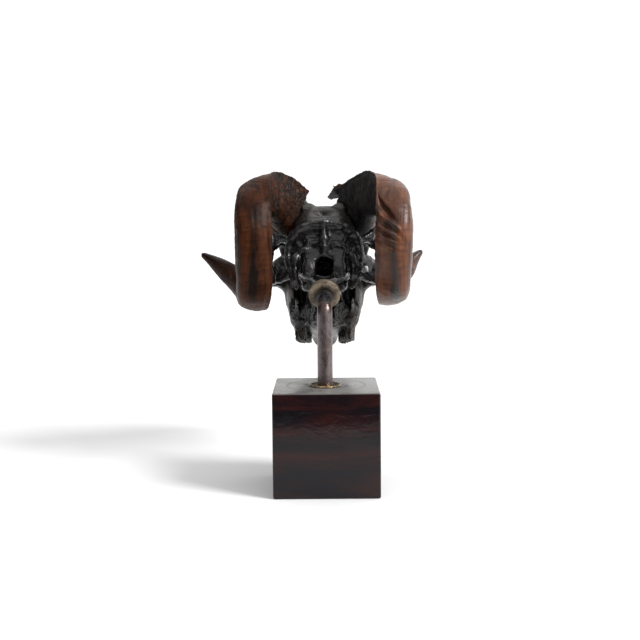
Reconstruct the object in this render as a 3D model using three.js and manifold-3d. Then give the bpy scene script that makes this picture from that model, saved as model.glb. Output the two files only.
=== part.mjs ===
// A ram's skull with its two horns, held nose down on a bent rod over a square wooden block.
// Millimetres, +Z up, +Y towards the muzzle, origin at the middle of the block's underside.
import * as THREE from "three";
import { mergeVertices } from "three/addons/utils/BufferGeometryUtils.js";
import Module from "manifold-3d";

const wasm = await Module();
wasm.setup();

// ---- Driving dimensions ----------------------------------------------------------------
const GAP = 0.3; // clearance between pieces that meet

const BLOCK = { side: 110, height: 108.6, edge: 1.6 };
const ROD = {
  radius: 8,
  x: -1,
  y: -5,
  corner: 195.2, // height at which the two straight runs would meet
  rise: 23, // degrees above level of the upper run
  bend: 18, // centreline radius of the bend
  reach: 60, // length of the upper run past the corner
};
const FOOT_RING = { radius: 16.5, thick: 2, bore: 8.6 };
const PLATE = { radius: 17, thick: 5, boss: 12, bossLength: 7, fromCorner: 21.7 };

// The skull's own frame has its origin at the front lip of the spine's hole,
// with the palate level. It is then tipped nose down and lifted onto the rod.
const SKULL = { x: -1.2, y: 25, z: 220.9, noseDown: 14 };

const FORAMEN = { half: 8.8, low: 0, high: 21, depth: 34 };
const CONDYLE = { x: 15.5, y: -6, z: 5, radii: [8.5, 9, 12] };
const ORBIT = { x: 49, y: 88, z: 35, radii: [25, 20, 20.5] };
const TOOTH_ROW = {
  rear: 108,
  gumLevel: -34,
  rearBite: -53.5,
  frontBite: -46,
  rearX: 26.5,
  frontX: 20.5,
  step: 0.8, // every other tooth stands this much shorter
  overlap: 0.6, // how far each tooth runs into the next
};
const TOOTH_LENGTHS = [20, 16.5, 13.5, 9.5, 9, 8]; // from the last molar forwards
const MOLARS = 3; // how many of them are the wide molars
const HORN_MESH = { sides: 16, rings: 24, rootSides: 11, rootRings: 4 };
const SHEATH_WALL = 0.84; // inner size of the horn's hollow root, as a share of the outer
const CORE_SHARE = 0.73; // size of the bony core, as a share of the sheath's outer
const ROOM_SHARE = 1.03; // size of the room that the sheath has in the bone

const COLOURS = {
  bone: { color: 0x1d1a18, roughness: 0.35, metalness: 0 },
  horn: { color: 0x5b3320, roughness: 0.4, metalness: 0 },
  lacquer: { color: 0x1c1113, roughness: 0.15, metalness: 0 },
  bronze: { color: 0x5a4640, roughness: 0.35, metalness: 0.8 },
  brass: { color: 0x8a7a58, roughness: 0.35, metalness: 0.9 },
};

// ---- Small tools -----------------------------------------------------------------------
const degrees = THREE.MathUtils.degToRad;

// A closed three.js geometry as a solid that can be joined and cut.
function solid(geometry) {
  geometry.deleteAttribute("normal");
  geometry.deleteAttribute("uv");
  const merged = mergeVertices(geometry, 1e-3);
  return new wasm.Manifold(
    new wasm.Mesh({
      numProp: 3,
      vertProperties: new Float32Array(merged.attributes.position.array),
      triVerts: new Uint32Array(merged.index.array),
    }),
  );
}

// A joined or cut solid as a geometry again, with flat facets.
function geometryOf(made) {
  const mesh = made.getMesh();
  const geometry = new THREE.BufferGeometry();
  geometry.setAttribute("position", new THREE.BufferAttribute(mesh.vertProperties, 3));
  geometry.setIndex(new THREE.BufferAttribute(mesh.triVerts, 1));
  const facets = geometry.toNonIndexed();
  facets.computeVertexNormals();
  return facets;
}

// A capped tube whose rings are placed by pointOf(ring, angle, share): share is 0 at the
// middle of a cap and 1 on the skin.
function skinned(rings, sides, pointOf) {
  const geometry = new THREE.CylinderGeometry(1, 1, 1, sides, rings - 1);
  const place = geometry.attributes.position;
  for (let i = 0; i < place.count; i++) {
    const ring = Math.round((0.5 - place.getY(i)) * (rings - 1));
    const share = Math.hypot(place.getX(i), place.getZ(i));
    const angle = Math.atan2(place.getX(i), place.getZ(i));
    const point = pointOf(ring, angle, share < 0.5 ? 0 : 1);
    place.setXYZ(i, point.x, point.y, point.z);
  }
  return solid(geometry);
}

const bulge = (value, power) => Math.sign(value) * Math.abs(value) ** (2 / power);

// A body of rounded sections along +Y. Each section is [y, half width, top, widest, bottom].
function loft(sections, { sides = 20, up = 2.3, down = 2.3, x = 0 } = {}) {
  return skinned(sections.length, sides, (ring, angle, share) => {
    const [y, half, top, widest, bottom] = sections[ring];
    if (share === 0) return new THREE.Vector3(x, y, widest);
    const above = Math.cos(angle) < 0;
    const power = above ? up : down;
    const tall = above ? top - widest : widest - bottom;
    return new THREE.Vector3(
      x + half * bulge(Math.sin(angle), power),
      y,
      widest - tall * bulge(Math.cos(angle), power),
    );
  });
}

// A bone bar through [x, y, z, half width, half height] stations, smoothly curved.
// across is the direction that the half width is measured along.
function bar(stations, { rings = 10, sides = 8, across = new THREE.Vector3(1, 0, 0) } = {}) {
  const line = new THREE.CatmullRomCurve3(stations.map(([x, y, z]) => new THREE.Vector3(x, y, z)));
  const sizes = new THREE.CatmullRomCurve3(stations.map(([, , , w, h]) => new THREE.Vector3(w, h, 0)));
  return skinned(rings, sides, (ring, angle, share) => {
    const t = ring / (rings - 1);
    const along = line.getTangent(t);
    const rise = new THREE.Vector3().crossVectors(along, across).normalize();
    const side = new THREE.Vector3().crossVectors(rise, along).normalize();
    const size = sizes.getPoint(t);
    return line
      .getPoint(t)
      .addScaledVector(side, share * size.x * Math.sin(angle))
      .addScaledVector(rise, share * size.y * Math.cos(angle));
  });
}

function ball([x, y, z], [rx, ry, rz], { turn = 0, tilt = 0, detail = 8 } = {}) {
  const geometry = new THREE.SphereGeometry(1, detail, Math.round(detail * 0.7));
  geometry.scale(rx, ry, rz).rotateX(degrees(tilt)).rotateZ(degrees(turn)).translate(x, y, z);
  return solid(geometry);
}

// A round bar from one point to another.
function rod(from, to, radius, sides = 12) {
  const a = new THREE.Vector3(...from);
  const b = new THREE.Vector3(...to);
  const geometry = new THREE.CylinderGeometry(radius, radius, a.distanceTo(b), sides);
  const along = new THREE.Vector3().subVectors(b, a).normalize();
  const turn = new THREE.Quaternion().setFromUnitVectors(new THREE.Vector3(0, 1, 0), along);
  geometry.applyQuaternion(turn).translate(...a.add(b).multiplyScalar(0.5).toArray());
  return solid(geometry);
}

function box([x0, y0, z0], [x1, y1, z1]) {
  const geometry = new THREE.BoxGeometry(x1 - x0, y1 - y0, z1 - z0);
  return solid(geometry.translate((x0 + x1) / 2, (y0 + y1) / 2, (z0 + z1) / 2));
}

const join = (...solids) => solids.reduce((whole, next) => whole.add(next));
const mirrored = (made) => made.mirror([1, 0, 0]);
const bothSides = (made) => made.add(mirrored(made));

function mesh(name, made, finish) {
  const part = new THREE.Mesh(geometryOf(made), new THREE.MeshStandardMaterial(finish));
  part.name = name;
  return part;
}

// ---- Horns -----------------------------------------------------------------------------
// Each horn curls about a crosswise line beside the braincase. A station is [turn from the
// muzzle direction up and back, radius of the curl, distance from the middle plane, width
// of the outer face, depth towards the curl's middle, roll of the outer face outwards].
const CURL = { y: 9, z: 43.5 };
const HORN_STATIONS = [
  [50, 48, 38.5, 50, 56, 6],
  [72, 46.5, 47.5, 46, 49, -10],
  [100, 46, 58.5, 43, 46, -34],
  [130, 48.5, 69.5, 39.5, 44, -22],
  [160, 51.5, 75, 36.5, 43, 6],
  [195, 52, 75.5, 36, 42, 18],
  [240, 55.5, 75, 37, 41, 6],
  [284, 58, 78, 33, 39, -12],
  [314, 58.5, 87, 29, 35, -14],
  [339, 61, 108, 25, 24, -4],
  [357, 63, 136, 8, 9, 0],
];
const HORN_SIDE = {
  left: { side: -1, start: 0, lean: 0, flare: 0, tuck: 0 },
  right: { side: 1, start: -0.03, lean: -2, flare: -28, tuck: -5 }, // crown and tip nearer the head
};

// The horn's cross section in half widths towards the head and half depths outwards from the
// curl. It is three-sided: it begins at the keel, runs down the flat inner face, round the
// rounded outer side, and back over the front face.
const HORN_SECTION = new THREE.CatmullRomCurve3(
  [
    [1.05, 0.78],
    [0.98, 0.56],
    [0.8, 0.1],
    [0.55, -0.42],
    [0.22, -0.88],
    [-0.2, -1],
    [-0.64, -0.72],
    [-0.93, -0.2],
    [-1, 0.3],
    [-0.84, 0.72],
    [-0.4, 0.94],
    [0.25, 0.99],
    [0.86, 0.88],
  ].map(([out, away]) => new THREE.Vector3(out, away, 0)),
  true,
  "centripetal",
);

function hornLine({ side, lean, flare, tuck }) {
  const last = HORN_STATIONS.length - 1;
  const centres = [];
  const sizes = [];
  HORN_STATIONS.forEach(([turn, radius, out, width, depth, roll], i) => {
    const late = Math.max(0, (i / last - 0.5) / 0.5); // 0 until the back of the curl
    const early = Math.max(0, 1 - Math.abs(i / last - 0.2) / 0.3); // 1 at the crown of the curl
    const r = radius + tuck * Math.min(1, late * 2.5);
    const angle = degrees(turn);
    centres.push(
      new THREE.Vector3(
        side * (out + lean * early + flare * late ** 2),
        CURL.y + r * Math.cos(angle),
        CURL.z + r * Math.sin(angle),
      ),
    );
    sizes.push(new THREE.Vector3(width / 2, depth / 2, degrees(roll)));
  });
  return {
    centre: new THREE.CatmullRomCurve3(centres),
    size: new THREE.CatmullRomCurve3(sizes),
  };
}

// Where the horn's section lies at a share of its length. Before 0 it runs on straight.
function hornFrame(which, t) {
  const { centre, size } = hornLine(which);
  const held = Math.max(0, t);
  const along = centre.getTangent(held);
  const point = centre.getPoint(held).addScaledVector(along, (t - held) * centre.getLength());
  const away = new THREE.Vector3(0, point.y - CURL.y, point.z - CURL.z).normalize();
  away.addScaledVector(along, -away.dot(along)).normalize();
  const out = new THREE.Vector3().crossVectors(along, away).multiplyScalar(which.side);
  const { x: halfWidth, y: halfDepth, z: roll } = size.getPoint(held);
  const place = (around, share) => {
    const section = HORN_SECTION.getPoint(around);
    const a = section.y * halfDepth * share;
    const b = section.x * halfWidth * share;
    return point
      .clone()
      .addScaledVector(away, a * Math.cos(roll) - b * Math.sin(roll))
      .addScaledVector(out, a * Math.sin(roll) + b * Math.cos(roll));
  };
  return { along, place };
}

// The horn between two shares of its length, with its section scaled.
function hornLength(which, from, to, { rings, sides, scale = () => 1 }) {
  const shares = [];
  const frames = [];
  for (let ring = 0; ring < rings; ring++) {
    shares.push(from + ((to - from) * ring) / (rings - 1));
    frames.push(hornFrame(which, shares[ring]));
  }
  return skinned(rings, sides, (ring, angle, share) => {
    const around = (1.5 - (which.side * angle) / (2 * Math.PI)) % 1;
    return frames[ring].place(around, share * scale(shares[ring]));
  });
}

// Bites out of the sheath's edge, where the old horn has split and broken away. Each is
// [place around the section, half width, depth].
const RIM_BITES = {
  left: [
    [0.1, 5, 5],
    [0.26, 6, 5],
    [0.5, 6, 5],
    [0.78, 6, 5],
  ],
  right: [
    [0.94, 5, 11],
    [0.06, 4, 9],
    [0.17, 7, 10],
    [0.3, 8, 11],
    [0.45, 9, 12],
    [0.62, 10, 12],
    [0.8, 8, 12],
  ],
};
const BITE_SEAT = 0.92; // share of the section that a bite is centred on

function rimBites(which, bites) {
  const { along, place } = hornFrame(which, which.start);
  const turn = new THREE.Quaternion().setFromUnitVectors(new THREE.Vector3(0, 1, 0), along);
  return bites.map(([around, wide, deep]) => {
    const wedge = new THREE.ConeGeometry(wide, deep * 2, 4);
    return solid(wedge.applyQuaternion(turn).translate(...place(around, BITE_SEAT).toArray()));
  });
}

const CORE_END = 0.16; // share of the horn's length that the bony core fills
const CORE_ROOT = 0.075; // and the share that it runs on into the skull
const CORE_CLEARANCE = 0.03; // room round the core, as a share of the sheath's outer size
const HOLLOW_OVERRUN = 0.012; // how far the sheath's hollow runs past its edge and its core
const coreTaper = (t) => 1 - 0.5 * Math.max(0, t / CORE_END) ** 2;

function hornSheath(name) {
  const which = HORN_SIDE[name];
  const { sides, rings, rootSides, rootRings } = HORN_MESH;
  const hollow = hornLength(which, which.start - HOLLOW_OVERRUN, CORE_END + HOLLOW_OVERRUN, {
    rings: rootRings,
    sides: rootSides,
    scale: (t) => SHEATH_WALL * coreTaper(t),
  });
  return rimBites(which, RIM_BITES[name]).reduce(
    (sheath, bite) => sheath.subtract(bite),
    hornLength(which, which.start, 1, { rings, sides }).subtract(hollow),
  );
}

// The room that the sheath needs in the skull. Below the sheath's edge it closes in to the
// core, so that the edge stands a little clear of the bone.
function hornRoom(name) {
  const which = HORN_SIDE[name];
  const { sides, rings } = HORN_MESH;
  const step = (1 - which.start) / (rings - 1);
  const reach = Math.round(rings / 2);
  return hornLength(which, which.start - step, which.start + reach * step, {
    rings: reach + 2,
    sides,
    scale: (t) => (t < which.start - step / 2 ? CORE_SHARE : ROOM_SHARE),
  });
}

function hornCore(name, share = CORE_SHARE) {
  const which = HORN_SIDE[name];
  return hornLength(which, which.start - CORE_ROOT, CORE_END, {
    rings: HORN_MESH.rootRings,
    sides: HORN_MESH.rootSides,
    scale: (t) => share * coreTaper(t),
  });
}

// ---- Skull -----------------------------------------------------------------------------
function braincase() {
  const vault = loft([
    [-9, 19, 50, 34, 20],
    [-6, 28, 56, 28, 6],
    [2, 35, 64, 26, -2],
    [16, 36.5, 79, 30, -3],
    [30, 36, 86, 36, 0],
    [48, 35, 86, 42, 4],
    [66, 33, 82, 42, 8],
    [84, 30, 74, 40, 12],
  ], { sides: 16, up: 2.5, down: 2.2 });
  const crest = bar([
    [-36, 8, 12, 3, 4],
    [-38, 5, 32, 3, 4],
    [-31, -2, 49, 3, 4],
    [0, -7, 58.5, 4, 4],
    [31, -2, 49, 3, 4],
    [38, 5, 32, 3, 4],
    [36, 8, 12, 3, 4],
  ], { rings: 13, sides: 6, across: new THREE.Vector3(0, 1, 0) });
  const skullBase = loft([
    [-3, 13, 5, 1, -3],
    [10, 15, 9, 0, -7],
    [30, 12, 14, 2, -4],
    [62, 10, 22, 8, 2],
    [100, 9, 26, 12, -2],
  ], { sides: 12 });
  const side = join(
    ball([CONDYLE.x, CONDYLE.y, CONDYLE.z], CONDYLE.radii, { turn: -14, tilt: -12 }),
    bar([
      [30, 3, 24, 6, 8],
      [31, 5, 6, 4, 6],
      [30, 8, -4, 2.8, 4.5],
      [29, 9, -11, 1.6, 2.5],
    ], { rings: 6 }),
    ball([20, 23, -5], [8, 11, 8.5], { detail: 7 }), // ear bulb
  );
  const spineHole = loft([
    [-24, FORAMEN.half + 2, FORAMEN.high + 4, 10, FORAMEN.low - 1],
    [-8, FORAMEN.half, FORAMEN.high, 10, FORAMEN.low],
    [FORAMEN.depth, FORAMEN.half + 4, FORAMEN.high + 10, 16, FORAMEN.low + 8],
  ], { sides: 12, up: 2.6, down: 3 });
  return join(vault, crest, skullBase, bothSides(side)).subtract(spineHole);
}

function forehead() {
  return loft([
    [30, 30, 86, 76, 62],
    [42, 45, 87, 72, 56],
    [60, 51, 84, 66, 53],
    [78, 54, 76, 62, 52],
    [96, 50, 68, 56, 38],
    [112, 44, 61, 42, 20],
    [124, 34, 54, 34, 6],
  ], { sides: 14, up: 2.6, down: 2.2 });
}

function cheekArch() {
  const arch = bar([
    [34, 13, 12, 8, 10],
    [46, 21, 11, 7, 12],
    [56, 38, 11, 4, 10],
    [59.5, 58, 10, 3.5, 8],
    [58.5, 78, 11, 4, 7],
    [53, 97, 14, 6, 7.5],
    [44, 113, 14, 8, 11],
    [37, 130, 2, 7, 12],
  ], { rings: 13, sides: 6 });
  const postorbital = bar([
    [51, 60, 62, 5, 7],
    [58, 66, 46, 3, 5.5],
    [61, 70, 30, 3, 5],
    [60, 76, 12, 4, 6],
  ], { rings: 6, sides: 6 });
  return arch.add(postorbital);
}

// The bony ring round the eye, from its back top corner forwards and down.
function eyeRim() {
  const points = [];
  const [first, last, count] = [112, -84, 8];
  for (let i = 0; i < count; i++) {
    const angle = degrees(first + ((last - first) * i) / (count - 1));
    points.push([
      ORBIT.x + 4 - 7 * Math.cos(angle),
      ORBIT.y + 22 * Math.cos(angle),
      ORBIT.z + 23 * Math.sin(angle),
      4.5,
      4,
    ]);
  }
  return bar(points, { rings: 10, sides: 6 });
}

function muzzle() {
  const face = loft([
    [86, 30, 67, 30, -20],
    [100, 42, 65, 26, -34],
    [116, 44, 57, 10, -39],
    [138, 42.5, 47, -8, -40],
    [158, 36, 38, -16, -39],
    [180, 28, 27, -18, -38],
    [200, 22, 15, -22, -38.5],
    [216, 18, 1, -27, -40.5],
    [230, 15, -20, -35, -44],
    [238, 11, -35, -40, -46],
  ], { sides: 16, up: 2.1, down: 3 });
  const noseRidge = loft([
    [96, 20, 66, 58, 50],
    [130, 17, 55, 46, 36],
    [165, 14, 39, 29, 18],
    [195, 12, 22, 12, 4],
    [214, 8, 6, 0, -4],
    [221, 3, -1, -3, -5],
  ], { sides: 12 });
  const wing = bar([
    [12, 62, 12, 2.4, 8],
    [12.5, 70, -6, 2.4, 10],
    [13.5, 84, -18, 2.6, 13],
    [15, 104, -24, 3, 14],
  ], { rings: 6, sides: 6 });
  const noseHole = loft([
    [150, 8, -8, -18, -26],
    [190, 12, 3, -14, -33],
    [206, 12, -2, -18, -35],
    [222, 11, -6, -24, -38],
    [246, 8, 4, -24, -37],
  ], { sides: 12 });
  const rearHole = loft([
    [52, 9.5, -8, -20, -40],
    [96, 9.5, -6, -20, -36],
    [128, 6, -14, -20, -28],
  ], { sides: 12 });
  const palateSlot = bar([[5.5, 202, -46, 2.6, 12], [5, 226, -48, 2.2, 12]], { rings: 2, sides: 6 });
  const frontNotch = bar([[0, 226, -46, 2, 14], [0, 250, -46, 3.5, 14]], { rings: 2, sides: 6 });
  return join(face, noseRidge, bothSides(wing))
    .subtract(noseHole)
    .subtract(rearHole)
    .subtract(bothSides(palateSlot))
    .subtract(frontNotch);
}

// One row of cheek teeth: each is a two-lobed prism, the molars larger than the premolars.
function toothRow() {
  const span = TOOTH_LENGTHS.reduce((sum, length) => sum + length, 0);
  const { rear, gumLevel, rearBite, frontBite, rearX, frontX, step, overlap } = TOOTH_ROW;
  const teeth = [];
  let y = rear;
  TOOTH_LENGTHS.forEach((length, i) => {
    const share = (y + length / 2 - rear) / span;
    const x = THREE.MathUtils.lerp(rearX, frontX, share ** 1.4);
    const half = i < MOLARS ? 7 : 5;
    const plan = new THREE.Shape();
    plan.moveTo(-half, -length / 2);
    plan.lineTo(-half - 0.6, -length / 4);
    plan.lineTo(-half + 1.6, 0);
    plan.lineTo(-half - 0.6, length / 4);
    plan.lineTo(-half, length / 2);
    plan.lineTo(half, length / 2 - 0.2);
    plan.lineTo(half + 0.6, length / 4);
    plan.lineTo(half - 1.6, 0);
    plan.lineTo(half + 0.6, -length / 4);
    plan.lineTo(half, -length / 2 + 0.2);
    const bite = THREE.MathUtils.lerp(rearBite, frontBite, share) + (i % 2) * step;
    const crown = new THREE.ExtrudeGeometry(plan, { depth: gumLevel - bite, bevelEnabled: false });
    teeth.push(solid(crown.translate(x, y + length / 2, bite)));
    y += length - overlap;
  });
  return join(...teeth);
}

// The whole cranium before it is parted: one bony body with its holes.
function cranium(rodTunnel) {
  const socket = ball([ORBIT.x, ORBIT.y, ORBIT.z], ORBIT.radii, { detail: 10 });
  const temple = loft([
    [44, 7, 48, 34, 22],
    [66, 9, 52, 34, 20],
    [92, 8, 52, 34, 20],
  ], { sides: 8, x: 46 });
  const face = join(forehead(), muzzle()).subtract(bothSides(socket)).subtract(bothSides(temple));
  const side = join(cheekArch(), eyeRim(), toothRow());
  return join(braincase(), face, bothSides(side))
    .subtract(rodTunnel)
    .subtract(hornRoom("left"))
    .subtract(hornRoom("right"));
}

// Cuts along the main sutures part the cranium into its bones.
const SUTURES = { crown: 46, brow: 116, cheek: 47, nose: 12, mouth: 196 };

function partedSkull(rodTunnel) {
  const far = 400;
  const slot = GAP / 2;
  const { crown, brow, cheek, nose, mouth } = SUTURES;
  const cheeks = box([cheek, 24, -20], [far, 122, 50]);
  const cheekCuts = box([cheek - GAP, 24 - GAP, -20 - GAP], [far, 122 + GAP, 50 + GAP]);
  const bone = cranium(rodTunnel);
  const middle = bone.subtract(bothSides(cheekCuts));
  const cores = hornCore("left").add(hornCore("right"));
  const roomShare = CORE_SHARE + CORE_CLEARANCE;
  const coreRoom = hornCore("left", roomShare).add(hornCore("right", roomShare));
  return {
    braincase: middle.intersect(box([-far, -far, -far], [far, crown - slot, far])).subtract(coreRoom),
    forehead: middle.intersect(box([-far, crown + slot, -far], [far, brow - slot, far])).add(cores),
    nose: middle.intersect(box([-far, brow + slot, nose + slot], [far, far, far])),
    upper_jaw: middle.intersect(box([-far, brow + slot, -far], [far, mouth - slot, nose - slot])),
    mouth_tip: middle.intersect(box([-far, mouth + slot, -far], [far, far, nose - slot])),
    cheek_left: bone.intersect(mirrored(cheeks)),
    cheek_right: bone.intersect(cheeks),
  };
}

// ---- Stand -----------------------------------------------------------------------------
function block() {
  const { side, height, edge } = BLOCK;
  const half = side / 2 - edge;
  const plan = new THREE.Shape();
  plan.moveTo(-half, -half).lineTo(half, -half).lineTo(half, half).lineTo(-half, half);
  const geometry = new THREE.ExtrudeGeometry(plan, {
    depth: height - 2 * edge,
    bevelThickness: edge,
    bevelSize: edge,
    bevelSegments: 3,
  });
  return solid(geometry.translate(0, 0, edge));
}

const RISE = new THREE.Vector3(0, Math.cos(degrees(ROD.rise)), Math.sin(degrees(ROD.rise)));
const CORNER = new THREE.Vector3(ROD.x, ROD.y, ROD.corner);

function bentRod(foot) {
  const turn = degrees(90 - ROD.rise);
  const tangent = ROD.bend * Math.tan(turn / 2);
  const path = new THREE.CurvePath();
  const bendStart = CORNER.clone().add(new THREE.Vector3(0, 0, -tangent));
  const bendEnd = CORNER.clone().addScaledVector(RISE, tangent);
  const bottom = new THREE.Vector3(ROD.x, ROD.y, foot);
  const tip = CORNER.clone().addScaledVector(RISE, ROD.reach);
  path.add(new THREE.LineCurve3(bottom, bendStart));
  path.add(new THREE.QuadraticBezierCurve3(bendStart, CORNER, bendEnd));
  path.add(new THREE.LineCurve3(bendEnd, tip));
  const round = new THREE.Shape().absarc(0, 0, ROD.radius, 0, 2 * Math.PI);
  const geometry = new THREE.ExtrudeGeometry(round, {
    steps: 20,
    curveSegments: 6,
    extrudePath: path,
    bevelEnabled: false,
  });
  return solid(geometry);
}

// A round piece turned about the rod's upper run, from a profile of [distance, radius].
function turnedOnRise(profile, sides = 22) {
  const outline = profile.map(([along, radius]) => new THREE.Vector2(radius, along));
  const geometry = new THREE.LatheGeometry(outline, sides);
  const turn = new THREE.Quaternion().setFromUnitVectors(new THREE.Vector3(0, 1, 0), RISE);
  geometry.applyQuaternion(turn).translate(...CORNER.toArray());
  return solid(geometry);
}

function mountPlate() {
  const { radius, thick, boss, bossLength, fromCorner } = PLATE;
  const bore = ROD.radius + GAP;
  const back = fromCorner - thick / 2;
  const front = fromCorner + thick / 2;
  return turnedOnRise([
    [back, bore],
    [back, radius - 3],
    [back + 0.8, radius - 1],
    [back + 2.2, radius],
    [front, radius],
    [front, boss],
    [front + bossLength, boss - 1],
    [front + bossLength, bore],
    [back, bore],
  ]);
}

function footRing() {
  const { radius, thick, bore } = FOOT_RING;
  const low = BLOCK.height + GAP;
  const outline = [
    [bore, low],
    [radius, low],
    [radius + 0.3, low + thick * 0.45],
    [radius - 0.8, low + thick],
    [radius - 2.2, low + thick * 0.7],
    [bore, low + thick * 0.55],
    [bore, low],
  ].map(([r, z]) => new THREE.Vector2(r, z));
  const geometry = new THREE.LatheGeometry(outline, 22).rotateX(Math.PI / 2);
  return solid(geometry.translate(ROD.x, ROD.y, 0));
}

// ---- The whole ---------------------------------------------------------------------------
const whole = new THREE.Group();

// The drilled hole in the skull's base, in the skull's own frame.
const intoSkull = new THREE.Matrix4()
  .makeRotationX(degrees(-SKULL.noseDown))
  .setPosition(SKULL.x, SKULL.y, SKULL.z)
  .invert();
const toSkull = (v) => v.clone().applyMatrix4(intoSkull).toArray();
const alongRise = (distance) => CORNER.clone().addScaledVector(RISE, distance);
const bossEnd = PLATE.fromCorner + PLATE.thick / 2 + PLATE.bossLength + GAP;
const rodTunnel = join(
  rod(toSkull(alongRise(0)), toSkull(alongRise(ROD.reach + GAP)), ROD.radius + GAP),
  rod(toSkull(alongRise(0)), toSkull(alongRise(bossEnd)), PLATE.boss + GAP),
);

const skull = new THREE.Group();
skull.position.set(SKULL.x, SKULL.y, SKULL.z);
skull.rotation.x = degrees(-SKULL.noseDown);
for (const [name, made] of Object.entries(partedSkull(rodTunnel))) {
  skull.add(mesh(`skull_${name}`, made, COLOURS.bone));
}
for (const name of ["left", "right"]) {
  skull.add(mesh(`horn_${name}`, hornSheath(name), COLOURS.horn));
}

const stand = new THREE.Group();
stand.add(mesh("stand_block", block(), COLOURS.lacquer));
stand.add(mesh("stand_foot_ring", footRing(), COLOURS.brass));
stand.add(mesh("stand_rod", bentRod(BLOCK.height + GAP), COLOURS.bronze));
stand.add(mesh("stand_mount_plate", mountPlate(), COLOURS.brass));

whole.add(skull, stand);
export default whole;
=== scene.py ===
"""A ram's skull with two curled horns, held nose down on a bent rod over a lacquered wood block."""

import math

import bmesh
import bpy
import numpy as np
from bpy.props import FloatProperty, FloatVectorProperty, IntProperty, PointerProperty
from mathutils import Matrix, Vector, noise


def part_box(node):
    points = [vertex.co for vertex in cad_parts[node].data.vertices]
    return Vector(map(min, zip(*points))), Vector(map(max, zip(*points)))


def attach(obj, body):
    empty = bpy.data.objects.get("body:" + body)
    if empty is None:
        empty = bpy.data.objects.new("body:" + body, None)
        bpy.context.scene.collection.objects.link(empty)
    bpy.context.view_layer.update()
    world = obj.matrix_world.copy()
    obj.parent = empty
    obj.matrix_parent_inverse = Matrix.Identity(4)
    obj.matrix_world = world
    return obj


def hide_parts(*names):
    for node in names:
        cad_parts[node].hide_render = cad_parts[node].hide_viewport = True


bl_info = {
    "name": "Ram skull on a stand",
    "version": (1, 0, 0),
    "blender": (4, 5, 0),
    "location": "3D View > Sidebar > Ram Skull",
    "description": "Builds a ram's skull with its horns, teeth and stand around a fixed frame",
    "category": "Object",
}

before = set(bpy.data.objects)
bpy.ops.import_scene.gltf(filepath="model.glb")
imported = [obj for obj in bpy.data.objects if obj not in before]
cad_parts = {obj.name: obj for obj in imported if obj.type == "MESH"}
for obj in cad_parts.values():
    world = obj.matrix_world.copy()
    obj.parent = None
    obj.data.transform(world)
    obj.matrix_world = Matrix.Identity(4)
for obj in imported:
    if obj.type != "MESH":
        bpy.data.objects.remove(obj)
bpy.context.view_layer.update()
BODY = "root"

MM = 0.001
SKULL_NODES = [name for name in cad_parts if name.startswith("skull_")]

# The skull is shaped in a frame of its own, in millimetres: +Y towards the muzzle, +Z up from a
# level palate, origin at the lower lip of the spine's opening. It is tipped nose down at the end.
NOSE_DOWN = 14
SKULL_PLACE = Matrix.Translation((-1.2, 25, 220.9)) @ Matrix.Rotation(math.radians(-NOSE_DOWN), 4, "X")
TO_METRES = Matrix.Scale(MM, 4)

# The rod and its plate, in the frame's axes but in millimetres. ROD_CORNER is where the upright
# rod's line meets the line that runs into the skull. The rod's reach, the plate's faces and the
# length of its boss are measured along that second line.
ROD_RADIUS = 8.0
ROD_THINNING = 0.24  # share of its radius that the rod loses round the bend
ROD_REACH = 60.0
ROD_BEND = 18.0
ROD_SLOPE = math.radians(23)
ROD_TURN = math.pi / 2 - ROD_SLOPE
ROD_CORNER = Vector((-1, -5, 195.2))
ROD_RISE = Vector((0, math.cos(ROD_SLOPE), math.sin(ROD_SLOPE)))
BEND_TANGENT = ROD_BEND * math.tan(ROD_TURN / 2)
BEND_CENTRE = ROD_CORNER + Vector((0, ROD_BEND, -BEND_TANGENT))
PLATE_FRONT = 24.2
PLATE_BACK = PLATE_FRONT - 5
PLATE_BOSS = 7.0
PLATE_BOSS_RADIUS = 12
PLATE_PLACE = Matrix.Translation(ROD_CORNER) @ ROD_RISE.to_track_quat("Z", "X").to_matrix().to_4x4()


# ---- Curves and shells -------------------------------------------------------------------


class Line:
    """A centripetal Catmull-Rom curve through points that hold any count of numbers."""

    def __init__(self, points, closed=False):
        self.points = [np.array(point, float) for point in points]
        self.closed = closed

    def _pick(self, i):
        if self.closed:
            return self.points[i % len(self.points)]
        if i < 0:
            return 2 * self.points[0] - self.points[1]
        if i >= len(self.points):
            return 2 * self.points[-1] - self.points[-2]
        return self.points[i]

    def at(self, share):
        """The numbers at a share of the curve, from 0 to 1."""
        spans = len(self.points) - (0 if self.closed else 1)
        place = (share % 1 if self.closed else min(max(share, 0), 1)) * spans
        i = min(int(place), spans - 1)
        w = place - i
        p0, p1, p2, p3 = (self._pick(k) for k in (i - 1, i, i + 1, i + 2))
        d0, d1, d2 = (max(np.linalg.norm(b - a), 1e-4) ** 0.5 for a, b in ((p0, p1), (p1, p2), (p2, p3)))
        m1 = ((p1 - p0) / d0 - (p2 - p0) / (d0 + d1) + (p2 - p1) / d1) * d1
        m2 = ((p2 - p1) / d1 - (p3 - p1) / (d1 + d2) + (p3 - p2) / d2) * d1
        rise, fall = 3 * w**2 - 2 * w**3, 1 - 3 * w**2 + 2 * w**3
        return fall * p1 + rise * p2 + (w**3 - 2 * w**2 + w) * m1 + (w**3 - w**2) * m2

    def along(self, share, step=1e-4):
        """The curve's direction, one unit long."""
        way = self.at(min(share + step, 1)) - self.at(max(share - step, 0))
        return way / np.linalg.norm(way)

    def length(self, steps=200):
        points = [self.at(i / steps) for i in range(steps + 1)]
        return sum(np.linalg.norm(b - a) for a, b in zip(points, points[1:]))


def bulge(value, power):
    """A sine or cosine squared off: 2 leaves a circle, and more makes the corners fuller."""
    return math.copysign(abs(value) ** (2 / power), value)


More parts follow.
